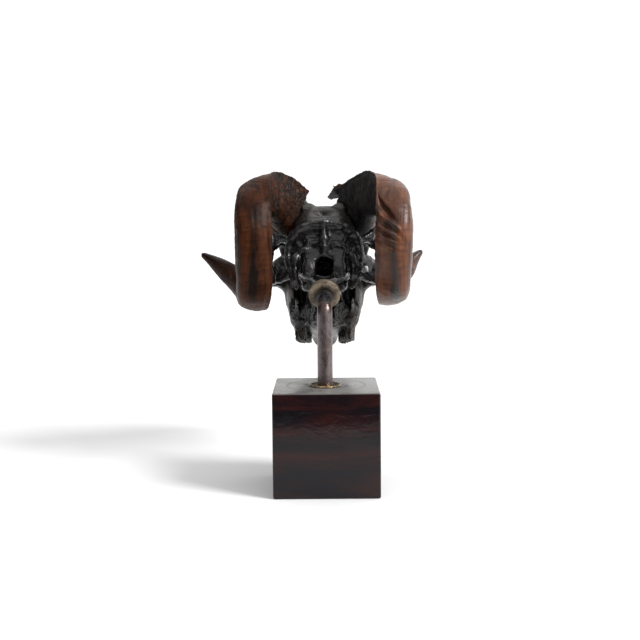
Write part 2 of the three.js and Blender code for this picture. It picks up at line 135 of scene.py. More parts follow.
def tube(bm, sides, rings, place, uv_of=None):
    """A closed tube. place(ring, around) gives a point, where around runs from 0 to 1 round it."""
    made = bmesh.ops.create_grid(bm, x_segments=sides, y_segments=rings - 1, size=0.5)["verts"]
    if uv_of:
        layer = bm.loops.layers.uv.verify()
        for face in {face for vert in made for face in vert.link_faces}:
            for loop in face.loops:
                x, y, _ = loop.vert.co
                loop[layer].uv = uv_of(x + 0.5, y + 0.5)
    for vert in made:
        around = round((vert.co.x + 0.5) * sides) / sides
        ring = round((vert.co.y + 0.5) * (rings - 1))
        vert.co = place(ring, around % 1)
    faces = {face for vert in made for face in vert.link_faces}
    bmesh.ops.remove_doubles(bm, verts=made, dist=1e-4)
    faces = [face for face in faces if face.is_valid]
    edges = {edge for face in faces for edge in face.edges if edge.is_boundary}
    faces += bmesh.ops.holes_fill(bm, edges=list(edges), sides=0)["faces"]
    bmesh.ops.recalc_face_normals(bm, faces=faces)


def loft(bm, sections, sides=36, rings=None, up=2.3, down=2.3, x=0.0, mirror=False):
    """A shell of rounded sections along +Y. Each is [y, half width, top, widest, bottom]."""
    line = Line(sections)
    rings = rings or 6 * len(sections)

    def place(ring, around):
        y, half, top, widest, bottom = line.at(ring / (rings - 1))
        turn = 2 * math.pi * around
        rise = math.cos(turn)
        power, tall = (up, top - widest) if rise > 0 else (down, widest - bottom)
        return (side * (x + half * bulge(math.sin(turn), power)), y, widest + tall * bulge(rise, power))

    for side in (1, -1) if mirror else (1,):
        tube(bm, sides, rings, place)


def bar(bm, stations, sides=16, rings=None, across=(1, 0, 0), mirror=True):
    """A bar through [x, y, z, half width, half height] stations, curved, on both sides."""
    line = Line([station[:3] for station in stations])
    sizes = Line([station[3:] for station in stations])
    rings = rings or 6 * len(stations)

    def place(ring, around):
        share = ring / (rings - 1)
        rise = np.cross(line.along(share), across)
        rise /= np.linalg.norm(rise)
        out = np.cross(rise, line.along(share))
        wide, tall = sizes.at(share)
        turn = 2 * math.pi * around
        point = line.at(share) + out * wide * math.sin(turn) + rise * tall * math.cos(turn)
        return (side * point[0], point[1], point[2])

    for side in (1, -1) if mirror else (1,):
        tube(bm, sides, rings, place)


def ball(bm, centre, radii, turn=0, tilt=0, mirror=True):
    """An egg shape on both sides of the middle plane."""
    for side in (1, -1) if mirror else (1,):
        place = (
            Matrix.Translation((side * centre[0], centre[1], centre[2]))
            @ Matrix.Rotation(math.radians(side * turn), 4, "Z")
            @ Matrix.Rotation(math.radians(tilt), 4, "X")
            @ Matrix.Diagonal((*radii, 1))
        )
        bmesh.ops.create_uvsphere(bm, u_segments=28, v_segments=18, radius=1, matrix=place)


def round_bar(bm, start, end, radius, sides=32):
    """A round bar from one point to another."""
    way = end - start
    turn = way.to_track_quat("Z", "Y").to_matrix().to_4x4()
    place = Matrix.Translation((start + end) / 2) @ turn
    bmesh.ops.create_cone(
        bm, cap_ends=True, segments=sides, radius1=radius, radius2=radius, depth=way.length, matrix=place
    )


def mesh_of(bm, name):
    """The bmesh as a mesh. The bmesh is used up."""
    mesh = bpy.data.meshes.new(name)
    bm.to_mesh(mesh)
    bm.free()
    return mesh


def shaped(mesh, *steps):
    """A mesh after modifiers. Each step is a modifier's type and its settings."""
    obj = bpy.data.objects.new("shaping", mesh)
    bpy.context.scene.collection.objects.link(obj)
    for kind, settings in steps:
        modifier = obj.modifiers.new(kind, kind)
        for name, value in settings.items():
            setattr(modifier, name, value)
    result = bpy.data.meshes.new_from_object(obj.evaluated_get(bpy.context.evaluated_depsgraph_get()))
    bpy.data.objects.remove(obj)
    return result


def placed(mesh, place=TO_METRES, sharp=None):
    """The mesh moved to its place and shaded smooth, but for edges sharper than that, in degrees."""
    mesh.transform(place)
    mesh.shade_smooth()
    if sharp:
        mesh.set_sharp_from_angle(angle=math.radians(sharp))
    return mesh


def add_piece(name, mesh, material, replaced=()):
    """Links a finished mesh as a piece that rides on the part's one body."""
    obj = bpy.data.objects.new(name, mesh)
    bpy.context.scene.collection.objects.link(obj)
    mesh.materials.clear()
    mesh.materials.append(material)
    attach(obj, BODY)
    if replaced:
        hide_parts(*replaced)


def read_vectors(items, name):
    """A property of three numbers of every item, as an array with a row for each."""
    values = np.zeros(len(items) * 3, np.float32)
    items.foreach_get(name, values)
    return values.reshape(-1, 3)


class Clay:
    """A mesh's points as arrays, for sculpting moves in millimetres."""

    def __init__(self, mesh):
        self.mesh = mesh
        self.points = read_vectors(mesh.vertices, "co").astype(float)
        edges = np.zeros(len(mesh.edges) * 2, np.int32)
        mesh.edges.foreach_get("vertices", edges)
        self.edges = edges.reshape(-1, 2)
        self.links = np.maximum(np.bincount(edges, minlength=len(self.points)), 1)[:, None]
        self.refresh()

    def refresh(self):
        """Writes the points to the mesh and reads the normals that it then has."""
        self.mesh.vertices.foreach_set("co", self.points.astype(np.float32).ravel())
        self.mesh.update()
        self.normals = read_vectors(self.mesh.vertices, "normal").astype(float)

    def near(self, centre, radii, mirror=True):
        """How close each point is to a place, from 0 far off to 1 at its middle."""
        total = np.zeros(len(self.points))
        for side in (1, -1) if mirror and centre[0] else (1,):
            away = (self.points - np.array([side * centre[0], *centre[1:]])) / np.array(radii, float)
            total = np.maximum(total, np.exp(-(away**2).sum(1)))
        return total

    def near_line(self, stops, width):
        """How close each point is to a run of straight lines, on both sides."""
        nearest = np.full(len(self.points), np.inf)
        for side in (1, -1):
            stations = [np.array([side * x, y, z], float) for x, y, z in stops]
            for a, b in zip(stations, stations[1:]):
                share = np.clip((self.points - a) @ (b - a) / ((b - a) @ (b - a)), 0, 1)
                gap = self.points - a - share[:, None] * (b - a)
                nearest = np.minimum(nearest, (gap**2).sum(1))
        return np.exp(-nearest / width**2)

    def push(self, weight, depth):
        """Moves points along their normals, outwards where depth is above 0."""
        self.points += self.normals * (weight * depth)[:, None]

    def swell(self, centre, radii, height, mirror=True):
        """A rounded swelling, or a pit where its height is below 0."""
        self.push(self.near(centre, radii, mirror), height)

    def ridge(self, stops, width, height):
        """A ridge along a run of lines, or a groove where its height is below 0."""
        self.push(self.near_line(stops, width), height)

    def grain(self, size, stretch=(1, 1, 1), octaves=3, seed=0.0):
        """Soft noise from about -1 to 1, with lumps of that size, stretched along the axes."""
        spread = self.points / (np.array(stretch) * size) + seed
        return np.array([noise.fractal(point, 0.9, 2.1, octaves) for point in spread])

    def softened(self, rounds, values=None):
        """Values, or the points, averaged with their neighbours a few times."""
        count = len(self.points)
        values = self.points if values is None else values.reshape(count, -1)
        a, b = self.edges.T
        for _ in range(rounds):
            sums = [np.bincount(a, v[b], count) + np.bincount(b, v[a], count) for v in values.T]
            values = 0.5 * values + 0.5 * np.stack(sums, 1) / self.links
        return values

    def relief(self, rounds, depth):
        """0 in hollows, 0.5 on flats and 1 on ridges, for hollows about depth deep."""
        stand = ((self.points - self.softened(rounds)) * self.normals).sum(1)
        return np.clip(0.5 + 0.5 * stand / depth, 0, 1)

    def paint(self, name, values):
        """Stores a value for each point, which the materials read."""
        layer = self.mesh.attributes.new(name, "FLOAT", "POINT")
        layer.data.foreach_set("value", values.astype(np.float32).ravel())


# ---- Materials -----------------------------------------------------------------------------


class Value:
    """A number socket. Reckoning with it adds Math nodes."""

    def __init__(self, nodes, socket):
        self.nodes = nodes
        self.socket = socket

    def __add__(self, other):
        return self.nodes.reckon("ADD", self, other)

    def __sub__(self, other):
        return self.nodes.reckon("SUBTRACT", self, other)

    def __rsub__(self, other):
        return self.nodes.reckon("SUBTRACT", other, self)

    def __mul__(self, other):
        return self.nodes.reckon("MULTIPLY", self, other)

    __radd__ = __add__
    __rmul__ = __mul__


class Nodes:
    """A node tree. Every node comes from add(), which gives one of the node's outputs."""

    def __init__(self, tree):
        self.tree = tree

    def add(self, kind, settings=None, inputs=None, out=0):
        node = self.tree.nodes.new(kind)
        for name, value in (settings or {}).items():
            setattr(node, name, value)
        for name, value in (inputs or {}).items():
            self.feed(node.inputs[name], value)
        return Value(self, node.outputs[out])

    def feed(self, socket, value):
        if isinstance(value, Value):
            self.tree.links.new(value.socket, socket)
        else:
            socket.default_value = value

    def reckon(self, operation, *values):
        return self.add("ShaderNodeMath", {"operation": operation}, dict(enumerate(values)))

    def part(self, vector, axis):
        return self.add("ShaderNodeSeparateXYZ", None, {0: vector}, axis)

    def coordinates(self, kind="Object"):
        return self.add("ShaderNodeTexCoord", out=kind)

    def attribute(self, name, out="Fac"):
        return self.add("ShaderNodeAttribute", {"attribute_name": name}, out=out)

    def stretched(self, vector, scale):
        return self.add("ShaderNodeMapping", None, {"Vector": vector, "Scale": scale})

    def noise(self, vector, scale, detail=4.0, rough=0.55, distort=0.0):
        inputs = {"Vector": vector, "Scale": scale, "Detail": detail, "Roughness": rough}
        return self.add("ShaderNodeTexNoise", None, {**inputs, "Distortion": distort})

    def between(self, value, low, high, start=0.0, end=1.0):
        """Runs softly from start, where the value is low, to end, where it is high."""
        inputs = {"Value": value, "From Min": low, "From Max": high, "To Min": start, "To Max": end}
        return self.add("ShaderNodeMapRange", {"interpolation_type": "SMOOTHSTEP"}, inputs)

    def mix(self, share, first, second, blend="MIX"):
        """A colour that is the first at a share of 0 and the second at 1."""
        colours = [value if isinstance(value, Value) else (*value, 1) for value in (first, second)]
        inputs = {0: share, 6: colours[0], 7: colours[1]}
        return self.add("ShaderNodeMix", {"data_type": "RGBA", "blend_type": blend}, inputs, 2)

    def bump(self, height, distance, strength):
        inputs = {"Height": height, "Distance": distance, "Strength": strength}
        return self.add("ShaderNodeBump", None, inputs)


class Shader(Nodes):
    """A Principled material."""

    def __init__(self, name):
        self.material = bpy.data.materials.new(name)
        self.material.use_nodes = True
        super().__init__(self.material.node_tree)
        self.surface = self.tree.nodes["Principled BSDF"]

    def finish(self, **sockets):
        """Feeds the surface's sockets and gives the material."""
        for name, value in sockets.items():
            self.feed(self.surface.inputs[name.replace("_", " ")], value)
        return self.material


# ---- Horns ---------------------------------------------------------------------------------
# Each horn curls about a crosswise line beside the braincase. A station is [turn from the
# muzzle direction up and back, radius of the curl, distance from the middle plane, width of
# the front face, depth towards the curl's middle, roll of the front face towards the head].
CURL = (9, 43.5)
HORN_STATIONS = [
    [50, 48, 38.5, 50, 56, 6],
    [72, 46.5, 47.5, 46, 49, -10],
    [100, 46, 58.5, 43, 46, -34],
    [130, 48.5, 69.5, 39.5, 44, -22],
    [160, 51.5, 75, 36.5, 43, 6],
    [195, 52, 75.5, 36, 42, 18],
    [240, 55.5, 75, 37, 41, 6],
    [284, 58, 78, 33, 39, -12],
    [314, 58.5, 87, 29, 35, -14],
    [339, 61, 108, 28, 27, -4],
    [357, 63, 136, 8, 9, 0],
]
# The cross section in half widths towards the head and half depths outwards from the curl. It
# is three-sided: it begins at the keel, runs down the flat inner face, round the rounded outer
# side, and back over the front face.
HORN_SECTION = Line(
    [
        [1.05, 0.78],
        [1.0, 0.6],
        [0.8, 0.1],
        [0.55, -0.42],
        [0.22, -0.88],
        [-0.2, -1],
        [-0.64, -0.72],
        [-0.93, -0.2],
        [-1, 0.3],
        [-0.84, 0.72],
        [-0.4, 0.94],
        [0.25, 0.99],
        [0.9, 0.86],
    ],
    closed=True,
)
# Places round the section, as shares of it.
KEEL = 0.0
INNER_FACE = 0.17
FLUTES = (0.055, 0.93)
# The bony core: where it ends along the horn, and how thick it is against the sheath.
CORE_END = 0.16
CORE_SHARE = 0.73
CORE_SIDES = 40
ROOM_REACH = 0.018  # how far past the sheath's edge the bone is hollowed, as a share of the length
# The sheath: how far its hollow root reaches along it, and how thick the inside of its wall is
# against the outside.
ROOT_DEEP = 0.09
ROOT_WALL = 0.85


class Horn:
    """The line and size of one horn, with the details that are its own.

    start is where its edge lies, as a share of the length, and lean, flare and tuck move its
    middle out, its tip out and its late curl away from the curl's middle, in millimetres.
    """

    def __init__(self, name, side, start=0.0, lean=0.0, flare=0.0, tuck=0.0, bites=(), torn=1.0, seed=0.0):
        self.name = name
        self.side = side
        self.start = start
        self.bites = bites
        self.torn = torn
        self.seed = seed
        centres, sizes = [], []
        last = len(HORN_STATIONS) - 1
        for i, (turn, radius, out, width, depth, roll) in enumerate(HORN_STATIONS):
            share = i / last
            late = max(0, (share - 0.5) / 0.5)
            early = max(0, 1 - abs(share - 0.2) / 0.3)
            reach = radius + tuck * min(1, late * 2.5)
            angle = math.radians(turn)
            x = side * (out + lean * early + flare * late**2)
            centres.append([x, CURL[0] + reach * math.cos(angle), CURL[1] + reach * math.sin(angle)])
            sizes.append([width / 2, depth / 2, math.radians(roll)])
        self.centre = Line(centres)
        self.size = Line(sizes)
        self.long = self.centre.length()

    def frame(self, share):
        """The middle, the two cross directions and the half sizes at a share of the length."""
        held = min(1, max(0, share))
        along = self.centre.along(held)
        middle = self.centre.at(held) + along * (share - held) * self.long
        away = np.array([0, middle[1] - CURL[0], middle[2] - CURL[1]])
        away -= along * (away @ along)
        away /= np.linalg.norm(away)
        out = np.cross(along, away) * self.side
        wide, deep, roll = self.size.at(held)
        first = away * math.cos(roll) + out * math.sin(roll)
        second = out * math.cos(roll) - away * math.sin(roll)
        return middle, second * wide, first * deep

    def skin(self, bm, shares, scale):
        """A closed shell that follows the horn, scale(share) times as thick."""
        frames = [self.frame(share) for share in shares]

        def place(ring, around):
            middle, wide, deep = frames[ring]
            out, away = HORN_SECTION.at(around)
            grow = scale(shares[ring])
            return middle + wide * out * grow + deep * away * grow

        tube(bm, CORE_SIDES, len(shares), place)

    def core(self, bm):
        """The bony core, which thins to half at its end."""
        shares = np.linspace(self.start - 0.075, CORE_END, 16)
        self.skin(bm, shares, lambda share: CORE_SHARE * (1 - 0.5 * max(0, share / CORE_END) ** 2))

    def room(self, bm):
        """What the sheath takes out of the bone. It widens past the edge to just outside the sheath."""
        moat = self.start - ROOM_REACH
        shares = np.linspace(moat, 0.5, 34)
        self.skin(bm, shares, lambda share: 0.78 + 0.24 * min(1, (share - moat) / ROOM_REACH))


# A bite out of the sheath's edge is (place round the section, half width there, depth, bend), the
# last two in mm. A splinter that stands on past the edge has a depth below 0, and the bend is how
# far the edge is peeled outwards there.
HORNS = [
    Horn(
        "left",
        -1,
        bites=[
            (0.06, 0.02, 2, 0),
            (0.14, 0.03, 3, 0),
            (0.24, 0.03, 4, 0),
            (0.5, 0.05, 4, 0),
            (0.78, 0.05, 4, 0),
        ],
        seed=3.1,
    ),
    Horn(
        "right",
        1,
        start=-0.03,
        lean=-2,
        flare=-28,
        tuck=-5,
        bites=[
            (0.985, 0.07, 0, 5),
            (0.028, 0.016, -13, 5),
            (0.985, 0.014, 24, 0),
            (0.955, 0.012, 9, 6),
            (0.915, 0.022, 20, 0),
            (0.085, 0.025, 11, 0),
            (0.16, 0.012, 4, 0),
            (0.22, 0.03, 12, 0),
            (0.33, 0.04, 8, 0),
            (0.45, 0.05, 13, 0),
            (0.6, 0.05, 10, 0),
            (0.76, 0.04, 13, 0),
        ],
        torn=2.2,
        seed=8.7,
    ),
]


def beside(first, second, width):
    """1 where two places round a section are the same, towards 0 past that width."""
    gap = abs(first - second) % 1
    return math.exp(-((min(gap, 1 - gap) / width) ** 2))


# Folds and a crack that old damage left on the right horn's front face. Each is
# (share of the length, place round the section, half length, half width, height in mm, slant).
RIGHT_SCARS = [
    (0.385, 0.925, 0.0068, 0.03, -3.6, -0.5),
    (0.41, 0.89, 0.0076, 0.035, -5.2, -0.5),
    (0.435, 0.845, 0.0076, 0.03, -5.2, -0.45),
    (0.428, 0.905, 0.0051, 0.04, 2.3, -0.5),
    (0.45, 0.85, 0.0047, 0.07, 3.3, -0.28),
    (0.462, 0.86, 0.0034, 0.05, -2.6, -0.25),
    (0.473, 0.86, 0.0043, 0.07, 3.3, -0.22),
    (0.484, 0.86, 0.0034, 0.05, -2.5, -0.2),
    (0.494, 0.85, 0.0043, 0.07, 2.9, -0.15),
    (0.505, 0.85, 0.0034, 0.05, -1.9, -0.12),
    (0.514, 0.84, 0.0043, 0.06, 1.9, -0.1),
]


def horn_relief(horn, share, around):
    """Height in mm of the growth ridges, fibres and scars on the sheath."""
    long = share * horn.long
    turn = 2 * math.pi * around
    spot = (math.cos(turn), math.sin(turn))
    inner = beside(around, INNER_FACE, 0.15)
    youth = 1 - 0.7 * share
    wave = long + 3 * noise.noise((long / 30, spot[0] * 1.5, spot[1] * 1.5 + horn.seed))
    bands = noise.fractal((wave / 6.5, spot[0] * 1.3 + horn.seed, spot[1] * 1.3), 0.8, 2.1, 3)
    years = noise.fractal((wave / 17, horn.seed, 4 + spot[0] * 0.3), 0.9, 2, 2)
    fibres = noise.fractal((long / 60, spot[0] * 7 + horn.seed, spot[1] * 7), 0.8, 2, 2)
    dents = noise.fractal((long / 26, spot[0] * 1.1 + horn.seed, spot[1] * 1.1 + 3), 0.9, 2, 2)
    keel = beside(around, KEEL, 0.014)
    flute = sum(beside(around, at, 0.03) for at in FLUTES)
    height = youth * (bands * (0.45 + 1.7 * inner) + 0.7 * years) + 0.3 * fibres
    height += youth * (keel - 0.7 * flute + 0.9 * dents) - 0.7
    if horn.side > 0:
        for at, round_it, half, wide, rise, slant in RIGHT_SCARS:
            side = (around - round_it + 0.5) % 1 - 0.5
            away = (share - at - slant * side) / half
            height += rise * math.exp(-(away**2) - (side / wide) ** 2)
    return height


def horn_mesh(horn, rings, sides):
    """The sheath: a hollow root with a broken edge, and a skin of growth ridges to its tip."""
    # A row is (share of the way from edge to tip, thickness, whether it is inside the root).
    rows = [(ROOT_DEEP, 0.3, True), (ROOT_DEEP, ROOT_WALL - 0.05, True)]
    rows += [(ROOT_DEEP * (1 - i / 6), ROOT_WALL, True) for i in range(1, 6)]
    edge = [(0.004, ROOT_WALL), (0, ROOT_WALL + 0.05), (-0.002, 0.95), (0, 0.985)]
    skin = [(i / rings, 1) for i in range(1, rings + 1)]
    tip = [(1.004, 0.92), (1.008, 0.7), (1.011, 0.38), (1.012, 0.001)]
    rows += [(step, scale, False) for step, scale in edge + skin + tip]
    span = 1 - horn.start
    frames = {}

    def place(ring, around):
        step, scale, inner = rows[ring]
        bite = peel = 0
        for at, wide, depth, bend in horn.bites:
            near = beside(around, at, wide)
            bite += depth * near
            peel += bend * near
        torn = horn.torn * noise.noise((around * 40, horn.seed, 0.5))
        fade = max(0, 1 - step / 0.16) ** 2
        share = horn.start + span * step + fade * (bite + torn) / horn.long
        key = round(share, 4)
        if key not in frames:
            frames[key] = horn.frame(key)
        middle, wide, tall = frames[key]
        out, away = HORN_SECTION.at(around)
        spoke = wide * out + tall * away
        rise = peel * max(0, 1 - step / 0.1)
        if not inner:
            fading = max(0, min(1, (1 - step) / 0.03))
            rise += horn_relief(horn, share, around) * fading * min(scale, 1)
        return middle + spoke * (scale + rise / np.linalg.norm(spoke))

    bm = bmesh.new()
    tube(bm, sides, len(rows), place, uv_of=lambda u, v: (u, v))
    mesh = mesh_of(bm, f"horn_{horn.name}")
    store_grain(mesh, horn)
    return placed(mesh, TO_METRES @ SKULL_PLACE)


def store_grain(mesh, horn, samples=400):
    """Stores where each point would be in a straightened horn: across, across and along, in metres."""
    points = read_vectors(mesh.vertices, "co")
    shares = np.linspace(horn.start, 1, samples)
    frames = [horn.frame(share) for share in shares]
    middles = np.array([middle for middle, _, _ in frames])
    nearest = np.array([((middles - point) ** 2).sum(1).argmin() for point in points])
    away = points - middles[nearest]
    wide = np.array([wide / np.linalg.norm(wide) for _, wide, _ in frames])[nearest]
    tall = np.array([tall / np.linalg.norm(tall) for _, _, tall in frames])[nearest]
    along = shares[nearest] * horn.long
    grain = np.stack([(away * wide).sum(1), (away * tall).sum(1), along], 1) * MM
    layer = mesh.attributes.new("grain", "FLOAT_VECTOR", "POINT")
    layer.data.foreach_set("vector", grain.astype(np.float32).ravel())


# ---- Skull ---------------------------------------------------------------------------------
# The middle of the eye socket, and the half width and height of the spine's opening.
ORBIT = (49, 88, 35)
FORAMEN_HALF, FORAMEN_HIGH = 8.8, 21


def vault_shells(bm):
    """The braincase with its neck end: vault, crest, base, condyles, side horns and ear bulbs."""
    loft(
        bm,
        [
            [-9, 19, 50, 34, 20],
            [-6, 28, 56, 28, 6],
            [2, 35, 64, 26, -2],
            [16, 36.5, 79, 30, -3],
            [30, 36, 86, 36, 0],
            [48, 35, 86, 42, 4],
            [66, 33, 82, 42, 8],
            [84, 30, 74, 40, 12],
        ],
        up=2.5,
        down=2.2,
        sides=60,
    )
    crest = [[36, 8, 12, 4, 5], [38, 5, 32, 4, 5], [31, -2, 49, 3.5, 4.5]]
    mirrored = [[-x, y, z, wide, tall] for x, y, z, wide, tall in crest]
    bar(bm, mirrored + [[0, -7, 58.5, 4, 4]] + crest[::-1], rings=60, across=(0, 1, 0), mirror=False)
    base = [[-3, 13, 5, 1, -3], [10, 15, 9, 0, -7], [30, 12, 14, 2, -4]]
    loft(bm, base + [[62, 10, 22, 8, 2], [100, 9, 26, 12, -2]])
    ball(bm, (16, -5.5, 10), (9, 8.5, 13.5), turn=-14, tilt=-12)
    ball(bm, (9, 24, -5), (4.5, 7, 4.5))
    bar(bm, [[31, 1, 24, 5, 8], [31, 1, 8, 3, 6], [29.5, 3, -3, 2.2, 5], [28.5, 5, -12, 1.4, 2.6]], rings=30)
    ball(bm, (19, 27, -3), (7, 10, 7.5))
    bar(bm, [[22, 22, 4, 5, 5], [33, 17, 13, 4.6, 4.6], [40, 15, 17, 4, 4]])
    bar(bm, [[36, 5, 40, 3, 4], [40, 4, 26, 3.5, 4], [38, 2, 10, 2.6, 4], [31, 4, -8, 1.6, 3]], rings=30)
    bar(bm, [[39, 62, 20, 6, 7], [41, 58, 38, 6.5, 7], [41, 50, 56, 9, 9]], rings=30)
    bar(bm, [[36, 38, 62, 9, 9], [46, 52, 60, 9, 10], [57, 68, 56, 7, 8]], rings=30)
    bar(bm, [[13, 32, 82, 8, 5], [24, 34, 85.5, 8, 6], [33, 38, 88, 8, 8]], rings=30)


def forehead_shell(bm):
    """The broad forehead that carries the horns."""
    loft(
        bm,
        [
            [30, 30, 86, 76, 62],
            [42, 45, 87, 72, 56],
            [60, 51, 84, 66, 53],
            [78, 54, 76, 62, 52],
            [96, 50, 68, 56, 38],
            [112, 44, 61, 42, 20],
            [124, 34, 54, 34, 6],
        ],
        up=2.6,
        down=2.2,
        sides=60,
    )


def cheek_shells(bm):
    """The cheek arches, the bars behind the eyes and the rims of the eye sockets."""
    bar(
        bm,
        [
            [34, 13, 14, 8, 12],
            [46, 23, 14, 6, 16],
            [56, 40, 13, 4, 13],
            [59.5, 58, 11, 3.5, 9],
            [58.5, 78, 11, 4, 7],
            [53, 97, 14, 6, 7.5],
            [44, 113, 14, 8, 11],
            [37, 130, 2, 7, 12],
        ],
        rings=60,
    )
    bar(bm, [[51, 60, 62, 5, 7], [59, 66, 46, 3, 5.5], [61, 70, 30, 3, 5], [60, 76, 12, 4, 6]])
    ball(bm, (54, 52, 67), (6, 9, 11))
    ball(bm, (52, 74, 53), (8, 14, 9))
    # The rim of the eye socket runs from above it, round its front, to below it at the back.
    rim = []
    for i in range(12):
        angle = math.radians(115 - i * 18.5)
        cos, sin = math.cos(angle), math.sin(angle)
        rim.append([ORBIT[0] + 4 - 7 * cos, ORBIT[1] + 22 * cos, ORBIT[2] + 23 * sin, 4.2, 3.4])
    bar(bm, rim, rings=60)


def muzzle_shells(bm):
    """The upper jaw and nose, the palate's edges and the walls behind and beside the teeth."""
    loft(
        bm,
        [
            [86, 30, 67, 30, -20],
            [100, 42, 65, 26, -34],
            [116, 44, 57, 10, -39],
            [138, 42.5, 47, -8, -40],
            [158, 36, 38, -16, -39],
            [180, 28, 27, -18, -38],
            [200, 22, 15, -22, -38.5],
            [216, 18, 1, -27, -40.5],
            [230, 15, -20, -35, -44],
            [238, 11, -35, -40, -46],
        ],
        up=2.1,
        down=3,
        sides=60,
    )
    loft(
        bm,
        [
            [96, 20, 66, 58, 50],
            [130, 17, 55, 46, 36],
            [165, 14, 39, 29, 18],
            [195, 12, 22, 12, 4],
            [214, 8, 6, 0, -4],
            [221, 3, -1, -3, -5],
        ],
    )
    bar(bm, [[12, 62, 12, 2.4, 8], [12.5, 70, -6, 2.4, 10], [13.5, 84, -18, 2.6, 13], [15, 104, -24, 3, 14]])
    ball(bm, (27, 106, -30), (8, 9, 9))
    bar(bm, [[36, 96, -10, 4, 12], [36.5, 110, -20, 3.5, 14], [34, 134, -24, 3.5, 12], [29, 158, -27, 3, 10]])
    bar(bm, [[31, 106, -34, 4.5, 9], [31, 124, -36, 4.5, 7], [29, 146, -37, 4, 6], [25, 172, -36, 3.5, 5]])
    wing = [[21, 52, 4, 3, 4], [30, 68, -8, 2.4, 4.5], [31, 86, -17, 2.6, 6], [32, 104, -22, 4, 8]]
    bar(bm, wing, rings=30)
    bar(bm, [[43, 118, 2, 3, 4], [42, 134, -10, 2.6, 3.4], [37, 152, -17, 1.6, 2]])


def skull_hollows(bm):
    """Everything that is cut away: the openings of the spine, nose, throat, eyes and temples."""
    loft(
        bm,
        [
            [-24, FORAMEN_HALF + 2, FORAMEN_HIGH + 4, 10, -1],
            [-8, FORAMEN_HALF, FORAMEN_HIGH, 10, 0],
            [34, FORAMEN_HALF + 4, FORAMEN_HIGH + 10, 16, 8],
        ],
        up=2.6,
        down=3,
        sides=40,
    )
    loft(
        bm,
        [
            [150, 8, -8, -18, -26],
            [190, 12, 3, -14, -33],
            [206, 12, -2, -18, -35],
            [222, 11, -6, -24, -38],
            [246, 8, 4, -24, -37],
        ],
    )
    loft(bm, [[52, 9.5, -8, -20, -40], [96, 9.5, -6, -20, -36], [128, 6, -14, -20, -28]])
    bar(bm, [[5.5, 202, -46, 2.6, 12], [5, 226, -48, 2.2, 12]])
    bar(bm, [[0, 226, -46, 2, 14], [0, 250, -46, 3.5, 14]], mirror=False)
    ball(bm, ORBIT, (25, 20, 20.5))
    ball(bm, (28, 86, -1), (8, 17, 19))
    ball(bm, (26, 64, -5), (8, 12, 13))
    loft(bm, [[44, 7, 48, 34, 22], [66, 9, 52, 34, 20], [92, 8, 52, 34, 20]], x=46, mirror=True)
    ball(bm, (40, 14, 17), (5, 2.6, 2.6), turn=-20)
    ball(bm, (41, 146, -8), (5, 2.6, 3.4), turn=20)
    ball(bm, (25, 98, 66), (1.8, 2.4, 5))
    # The rod and the plate's boss reach into the bone, with a little room round them.
    corner = SKULL_PLACE.inverted() @ ROD_CORNER
    rise = (SKULL_PLACE.inverted().to_3x3() @ ROD_RISE).normalized()
    room = 0.3
    round_bar(bm, corner, corner + rise * (ROD_REACH + 0.5), ROD_RADIUS + room)
    round_bar(bm, corner, corner + rise * (PLATE_FRONT + PLATE_BOSS + room), PLATE_BOSS_RADIUS + room)


def cranium(voxel):
    """One bony body: the shells joined, softened and hollowed, with the horns' cores."""
    bm = bmesh.new()
    vault_shells(bm)
    forehead_shell(bm)
    cheek_shells(bm)
    muzzle_shells(bm)
    whole = mesh_of(bm, "shells")
    bm = bmesh.new()
    skull_hollows(bm)
    for horn in HORNS:
        horn.room(bm)
    remesh = ("REMESH", {"mode": "VOXEL", "voxel_size": voxel})
    hollows = shaped(mesh_of(bm, "hollows"), remesh)
    cutter = bpy.data.objects.new("cutter", hollows)
    cut = ("BOOLEAN", {"object": cutter, "operation": "DIFFERENCE", "solver": "MANIFOLD"})
    bone = shaped(whole, remesh, ("SMOOTH", {"factor": 0.5, "iterations": 8}), cut)
    bpy.data.objects.remove(cutter)
    bm = bmesh.new()
    bm.from_mesh(bone)
    for horn in HORNS:
        horn.core(bm)
    return shaped(mesh_of(bm, "skull"), remesh, ("SMOOTH", {"factor": 0.5, "iterations": 6}))


